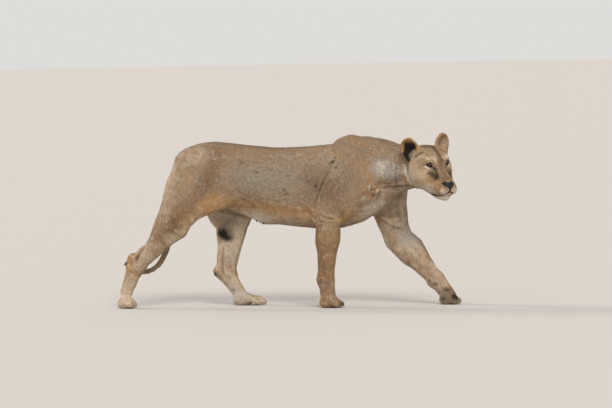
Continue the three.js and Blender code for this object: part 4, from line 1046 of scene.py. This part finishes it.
def eye_material():
    material, tree, shader = new_material("amber_eye", {
        "Roughness": 0.16, "Specular IOR Level": 0.15, "Coat Weight": 0.45, "Coat Roughness": 0.03})
    place = add_node(tree, "ShaderNodeTexCoord").outputs["Object"]
    parts = add_node(tree, "ShaderNodeSeparateXYZ", {0: place})
    flat = add_node(tree, "ShaderNodeCombineXYZ", {0: parts.outputs[0], 1: parts.outputs[1]})
    out = add_node(tree, "ShaderNodeVectorMath", {0: flat.outputs[0]}, operation="LENGTH").outputs["Value"]
    rays = noise(tree, stretched(tree, place, (900, 900, 60)), 1.0, 3.0)
    # The iris is amber darkened by painted shade from the upper lid.
    iris = mix(tree, ranged(tree, rays, 0.3, 0.7), (0.030, 0.013, 0.005, 1), (0.075, 0.038, 0.012, 1))
    iris = mix(tree, ranged(tree, out, 0.0074, 0.0094), iris, (0.030, 0.014, 0.007, 1))
    eye = mix(tree, ranged(tree, out, 0.0096, 0.0104), iris, (0.020, 0.014, 0.011, 1))
    eye = mix(tree, ranged(tree, out, 0.0052, 0.0046), eye, (0.003, 0.003, 0.003, 1))
    tree.links.new(eye, shader.inputs["Base Color"])
    return material


EYE_MATERIAL = eye_material()
BALL_RADIUS = EYE_RADIUS * 0.985  # a little inside the lids
for side in EYE_SIDES:
    eye = shown("eyeball_" + side, eye_mesh(BALL_RADIUS))
    sight = Vector(HEAD_AXES @ np.array(GAZE[side]))
    eye_turn = sight.to_track_quat("Z", "Y").to_matrix().to_4x4()
    eye.matrix_world = Matrix.Translation(EYE_CENTRES[side]) @ eye_turn
    eye.data.materials.append(EYE_MATERIAL)
    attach(eye, "root")
    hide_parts("eye_" + side)
    print("eye", side, "radius", round(BALL_RADIUS, 4))

# %% [markdown]
# ## Nose leather
#
# The nose pad is bare, black and pebbled. Its solid is a plain wedge, so it is grown again on a
# fine grid, smoothed, and the two comma-shaped nostrils are pushed in and painted nearly black as
# shade. The grain is a small cell pattern used as height only.

# %% Shape the nose
NOSTRIL = [(116, 24, -76), (124, 15, -76), (128, 9, -80), (128, 7, -85)]


def nose_piece():
    points, faces, _ = solids_joined(["nose"])
    mesh = with_modifier(mesh_from("nose", points, faces), "REMESH", mode="VOXEL", voxel_size=0.0011)
    points, faces = mesh_arrays(mesh)
    web = Web(mesh)
    points = smooth(points, web, 16, np.full((len(points), 1), 1.0)).astype(float)
    normals = normals_of(points, faces)
    here = to_face(points)
    half = both_halves(here)
    sink = (-5.5 * bell(line_distance(half, NOSTRIL), 3.0)
            - 1.6 * bell(here[:, 1], 1.6) * fade(-78, -88, here[:, 2]))
    points = points + normals * (sink - 0.2)[:, None] * MM
    beside = fade(-1.0, 2.5, np.abs(here[:, 1]) - nose_width(here[:, 2]))
    points -= HEAD_AXES[:, 0] * (7.0 * MM * beside)[:, None]
    mesh.vertices.foreach_set("co", points.astype(np.float32).ravel())
    # Painted shade: the nostril dents are painted nearly black.
    add_number(mesh, "nostril_shade", bell(line_distance(half, NOSTRIL), 3.4))
    mesh.polygons.foreach_set("use_smooth", np.ones(len(mesh.polygons), bool))
    mesh.materials.clear()
    return shown("nose_leather", mesh)


def leather_material():
    material, tree, shader = new_material("nose_leather", {"Roughness": 0.55, "Specular IOR Level": 0.3})
    place = add_node(tree, "ShaderNodeTexCoord").outputs["Object"]
    cells = add_node(tree, "ShaderNodeTexVoronoi", {"Vector": place, "Scale": 620.0}).outputs["Distance"]
    tone = mix(tree, ranged(tree, noise(tree, place, 130.0), 0.3, 0.7),
               (0.006, 0.005, 0.005, 1), (0.016, 0.013, 0.012, 1))
    tone = mix(tree, number(tree, "nostril_shade"), tone, (0.002, 0.002, 0.002, 1))
    tree.links.new(tone, shader.inputs["Base Color"])
    bump = add_node(tree, "ShaderNodeBump", {"Strength": 0.5, "Distance": 0.0004, "Height": cells})
    tree.links.new(bump.outputs[0], shader.inputs["Normal"])
    return material


nose = nose_piece()
nose.data.materials.append(leather_material())
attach(nose, "root")
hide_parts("nose")
print("nose leather:", len(nose.data.vertices), "points")

# %% [markdown]
# ## The coat, tuft by tuft
#
# Her hair is short and lies flat, so on the broad sides it shows mainly as grain, while along the
# back, belly, cheeks and legs it softens every edge. Particle hair would look right but is lost
# when the model is exported. Here each tuft is a thin pointed blade of real mesh. All the blades of
# one body part are one object, built as arrays in a single step. Roots are strewn over the skin
# with a fixed seed, and each blade leans along the lie of the coat there.

# %% The lie of the coat
LIE = {
    "neck": (-0.9, 0, -0.45), "chest": (-1, 0, -0.35), "belly": (-1, 0, -0.30), "rump": (-0.9, 0, -0.55),
    "upper_arm": (-0.45, 0, -1), "forearm": (-0.1, 0, -1), "thigh": (-0.6, 0, -0.9),
    "fore_paw": (0.7, 0, -0.6), "hind_paw": (0.7, 0, -0.6), "shank": (-0.3, 0, -1),
    "hind_foot": (0.1, 0, -1), "tail_root": (-0.3, 0, -1), "tail_middle": (-0.2, 0, -1),
    "tail_tip": (-0.9, 0, -0.5)}
NOSE_TIP = np.array([120.0, 0, -60.0])


def coat_lie():
    """The way the hair points at each place on the skin, along the surface."""
    flow = shares(skin_owner, LIE, (0, 0, 0))
    back = in_face - NOSE_TIP
    back[:, 2] -= 0.35 * np.abs(in_face[:, 1])
    back /= np.linalg.norm(back, axis=1, keepdims=True)
    on_head = head_part > 0
    flow[on_head] = back[on_head] @ HEAD_AXES.T
    for side, (foot, up, opening, middle) in ears.items():
        flow[shares(skin_owner, {EAR_NODES[side]: 1}, 0) > 0] = up
    flow = web.spread(flow, 24).astype(float)
    flow -= skin_normals * np.sum(flow * skin_normals, axis=1, keepdims=True)
    return flow / np.maximum(np.linalg.norm(flow, axis=1, keepdims=True), 1e-9)


skin_flow = coat_lie()
print("lie of the coat found for", len(skin_flow), "points")

# %% How long, wide and lifted the tufts are
LENGTHS = {
    "head": 6.5, "lower_jaw": 6.5, "nose": 3.5, "eye": 2.5, "ear": 6, "neck": 17, "chest": 16, "belly": 16,
    "rump": 15, "upper_arm": 13, "forearm": 10, "fore_paw": 6.5, "thigh": 13, "shank": 10, "hind_foot": 8,
    "hind_paw": 6.5, "tail_root": 12, "tail_middle": 11, "tail_tip": 19}
LONGER = [((-70, 96, -100), 46, 12), ((95, 0, -172), 26, 6), ((-110, 100, -60), 40, 8)]
tuft_length = web.spread(shares(skin_owner, LENGTHS, 12), 8)[:, 0].astype(float)
for place, size, more in LONGER:
    tuft_length += more * spot(mirrored, place, size) * (head_part > 0)
tuft_length -= 3.2 * spot(mirrored, (100, 52, -95), (36, 26, 30)) * (head_part > 0)
tuft_length += 9 * under * on_parts(belly=1, chest=1)
tuft_length += 10 * spot(in_body, (-1000, -10, 235), (60, 60, 60)) * on_parts(tail_tip=1)
tuft_length += 10 * ear_inside
BARE_ROUND_EYES, BARE_SOLES = 0.0185, 0.006  # metres from an eye's middle, and over the floor
bare = np.clip(marks["lip"] * 1.6 + (eye_distance(skin_points) < BARE_ROUND_EYES), 0, 1)
bare = np.clip(bare + spot(in_face, (122, 0, -82), (12, 34, 18)), 0, 1) * (head_part > 0)
bare = np.maximum(bare, skin_points[:, 2] < BARE_SOLES)
print("tufts from", round(float(tuft_length.min()), 1), "to", round(float(tuft_length.max()), 1), "mm")

# %% Build one coat piece
COAT_PIECES = {
    "coat_head": (["head", "lower_jaw", "nose", "eye_left", "eye_right"], 30000, 0.14),
    "coat_ears": (["ear_left", "ear_right"], 7000, 0.16),
    "coat_neck": (["neck"], 22000, 0.11),
    "coat_chest": (["chest"], 36000, 0.10),
    "coat_belly": (["belly"], 26000, 0.10),
    "coat_rump": (["rump"], 20000, 0.10),
    "coat_foreleg_right": (["upper_arm_right", "forearm_right", "fore_paw_right"], 26000, 0.11),
    "coat_foreleg_left": (["upper_arm_left", "forearm_left", "fore_paw_left"], 26000, 0.11),
    "coat_hindleg_right": (["thigh_right", "shank_right", "hind_foot_right", "hind_paw_right"], 32000, 0.11),
    "coat_hindleg_left": (["thigh_left", "shank_left", "hind_foot_left", "hind_paw_left"], 32000, 0.11),
    "coat_tail": (["tail_root", "tail_middle", "tail_tip"], 9000, 0.12),
}
BLADE_POINTS = 5
BLADE_GAP = 0.0004  # the least height of a blade over the floor
ROOT_DEPTH = 0.0006
PATCH = 0.003  # how wide each tuft's patch is on the unwrap
chance = np.random.default_rng(7)


def wrapped(points, nodes, owner):
    """A place on an unwrap of these parts: each is rolled out like a sleeve in its own strip."""
    flat = np.zeros((len(points), 2))
    for i, node in enumerate(nodes):
        mine = owner == NODE_NAMES.index(node)
        if not mine.any():
            continue
        low, high = (np.array(c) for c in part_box(node))
        size = high - low
        along = int(np.argmax(size))
        a, b = (k for k in range(3) if k != along)
        middle = (low + high) / 2
        turn = np.arctan2(points[mine, a] - middle[a], points[mine, b] - middle[b]) / (2 * math.pi) + 0.5
        share = np.clip((points[mine, along] - low[along]) / size[along], 0, 1)
        flat[mine, 0] = 0.01 + 0.98 * turn
        flat[mine, 1] = (i + 0.03 + 0.94 * share) / len(nodes)
    return flat


def coat_piece(name, nodes, count, lift):
    """Blades of five points: two at the root, two halfway and one at the tip."""
    wanted = [NODE_NAMES.index(n) for n in nodes]
    mine = skin_faces[np.isin(skin_owner[skin_faces[:, 0]], wanted)]
    a, b, c = (skin_points[mine[:, k]] for k in range(3))
    size = np.linalg.norm(np.cross(b - a, c - a), axis=1)
    size *= 1.0 / (0.5 + tuft_length[mine[:, 0]] / 14) * (1 - bare[mine].max(1))
    picked = mine[chance.choice(len(mine), count, p=size / size.sum())]
    u, v = chance.random(count), chance.random(count)
    over = u + v > 1
    u[over], v[over] = 1 - u[over], 1 - v[over]
    weights = np.stack([1 - u - v, u, v], 1)

    def at_root(values):
        got = values[picked]
        return np.einsum("ij,ij...->i...", weights, got)

    root, up, flow = at_root(skin_points), at_root(skin_normals), at_root(skin_flow)
    length = at_root(tuft_length) * chance.uniform(0.7, 1.25, count) * MM
    up /= np.linalg.norm(up, axis=1, keepdims=True)
    across = np.cross(up, flow)
    flow = flow + across * chance.normal(0, 0.20, count)[:, None]
    flow /= np.linalg.norm(flow, axis=1, keepdims=True)
    across = np.cross(up, flow)
    rise = lift * chance.uniform(0.35, 1.6, count)
    half_width = (0.045 * length + 0.00035)[:, None]
    middle = root + flow * (0.5 * length)[:, None] + up * (0.62 * length * rise)[:, None]
    tip = root + flow * length[:, None] + up * (0.75 * length * rise)[:, None]
    root = root - up * ROOT_DEPTH
    points = np.stack([root - across * half_width, root + across * half_width,
                       middle - across * half_width * 0.8,
                       middle + across * half_width * 0.8, tip], 1)
    points[:, :, 2] = np.maximum(points[:, :, 2], BLADE_GAP)
    start = np.arange(count)[:, None] * BLADE_POINTS
    faces = np.concatenate([start + [0, 1, 3], start + [0, 3, 2], start + [2, 3, 4]])
    mesh = mesh_from(name, points.reshape(-1, 3), faces)
    for mark, values in marks.items():
        add_number(mesh, mark, np.repeat(at_root(values), BLADE_POINTS))
    flat = wrapped(root, nodes, skin_owner[picked[:, 0]])[:, None]
    corner = np.array([[-1, -1], [1, -1], [-1, 0], [1, 0], [0, 1]]) * PATCH / 2
    places = np.clip((flat + corner).reshape(-1, 2), 0.0005, 0.9995)
    mesh.uv_layers.new(name="OFBake").data.foreach_set("uv", places[faces.ravel()].astype(np.float32).ravel())
    mesh.materials.append(TUFT_MATERIAL)
    piece = shown(name, mesh)
    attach(piece, "root")
    return len(faces)


coat_triangles = {name: coat_piece(name, *plan) for name, plan in COAT_PIECES.items()}
print("coat:", sum(coat_triangles.values()), "triangles, most in one piece", max(coat_triangles.values()))

# %% [markdown]
# ## Whiskers, teats and claw tips
#
# Long stiff whiskers spring from the rows of dark dots and sweep back along the cheeks. They are
# thin tapered tubes, each bent along a short curve. Four small dark teats hang under the belly, and
# the tips of her sheathed claws peep from the toes.

# %% Whiskers
def tube(points, radii, sides=5):
    """Points and faces of a round tube along a line, open at both ends."""
    points = np.asarray(points, float)
    along = np.gradient(points, axis=0)
    along /= np.linalg.norm(along, axis=1, keepdims=True)
    first = np.cross(along, [0.3, 0.2, 0.93])
    first /= np.linalg.norm(first, axis=1, keepdims=True)
    second = np.cross(along, first)
    turn = np.linspace(0, 2 * math.pi, sides, endpoint=False)
    ring = first[:, None] * np.cos(turn)[:, None] + second[:, None] * np.sin(turn)[:, None]
    rows = points[:, None] + ring * np.asarray(radii)[:, None, None]
    index = np.arange(len(points) * sides).reshape(len(points), sides)
    following = np.roll(index, -1, 1)
    faces = np.stack([index[:-1], following[:-1], following[1:], index[1:]], 2).reshape(-1, 4)
    return rows.reshape(-1, 3), faces


def joined(name, shapes, material):
    points, faces, start = [], [], 0
    for p, f in shapes:
        points.append(p)
        faces.append(f + start)
        start += len(p)
    piece = shown(name, mesh_from(name, np.concatenate(points), np.concatenate(faces)))
    piece.data.materials.append(material)
    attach(piece, "root")
    print(name, len(shapes), "shapes,", start, "points")


def horn_material(name, low, high, rough):
    material, tree, shader = new_material(name, {"Roughness": rough})
    place = add_node(tree, "ShaderNodeTexCoord").outputs["Object"]
    grain = ranged(tree, noise(tree, place, 90.0), 0.3, 0.7)
    tree.links.new(mix(tree, grain, low, high), shader.inputs["Base Color"])
    return material


skin_tree = BVHTree.FromPolygons(skin_points.tolist(), skin_faces.tolist())


def whisker(place, side, length):
    """A whisker from near a place on the muzzle: out, then back and a little down."""
    x, y, z = place
    root, up = (np.array(v) for v in skin_tree.find_nearest(Vector(from_face(x, side * y, z)))[:2])
    sweep = HEAD_AXES @ np.array([-0.55, side * 0.45, -0.28 + 0.002 * (z + 100)])
    t = np.linspace(0, 1, 9)[:, None]
    line = root + length * (0.28 * t * up + t * t * sweep + 0.35 * t * sweep - [0, 0, 0.06] * t ** 3)
    return tube(line, np.linspace(0.00042, 0.00008, 9))


whiskers = [whisker(place, side, (0.075 + 0.012 * i) * (0.9 + 0.05 * row))
            for side in (-1, 1) for row, places in enumerate(WHISKER_ROWS)
            for i, place in enumerate(places[1:])]
whisker_hair = horn_material("whisker_hair", (0.60, 0.56, 0.50, 1), (0.78, 0.74, 0.68, 1), 0.45)
joined("whiskers", whiskers, whisker_hair)

# %% Teats and claw tips
TEATS = [(-286, -34, 455), (-240, -38, 452), (-286, 34, 455), (-240, 38, 452)]


def teat(place):
    """A small soft nub that hangs from the belly."""
    root = np.array(skin_tree.find_nearest(Vector(body_point(*place)))[0])
    heights = np.array([4, 0, -4, -8, -11, -12.5]) * MM
    radii = np.array([6, 5.6, 4.6, 3.8, 2.6, 0.4]) * MM
    return tube(root + heights[:, None] * [0.1, 0, 1], radii, 12)


def claw(node, share):
    """The tip of a sheathed claw, curved down over a toe's front."""
    low, high = (np.array(c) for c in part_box(node))
    y = low[1] + share * (high[1] - low[1])
    front = Vector((high[0] + 0.02, y, 0.030))
    hit = skin_tree.ray_cast(front, Vector((-1, 0, 0)), 0.15)[0]
    if hit is None:
        return None
    t = np.linspace(0, 1, 7)[:, None]
    start = np.array(hit) + np.array([-0.006, 0, 0.002])
    line = start + np.array([0.011, 0, 0]) * t + np.array([0, 0, -0.009]) * t * t
    return tube(line, 0.0026 * (1 - t[:, 0] ** 1.5) + 0.0003, 8)


claws = [c for node in PAWS for share in (0.15, 0.38, 0.62, 0.85) if (c := claw(node, share)) is not None]
teat_skin = horn_material("teat_skin", (0.030, 0.022, 0.020, 1), (0.055, 0.040, 0.036, 1), 0.6)
joined("teats", [teat(p) for p in TEATS], teat_skin)
claw_horn = horn_material("claw_horn", (0.10, 0.075, 0.05, 1), (0.26, 0.21, 0.15, 1), 0.35)
joined("claw_tips", claws, claw_horn)

# %% Sizes
visual_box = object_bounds()
for axis, low, high, cad_low, cad_high in zip("xyz", *visual_box, *CAD_BOX):
    proud = round((cad_low - low) * 1000, 1), round((high - cad_high) * 1000, 1)
    print(axis, "stands proud by", proud[0], "and", proud[1], "mm")
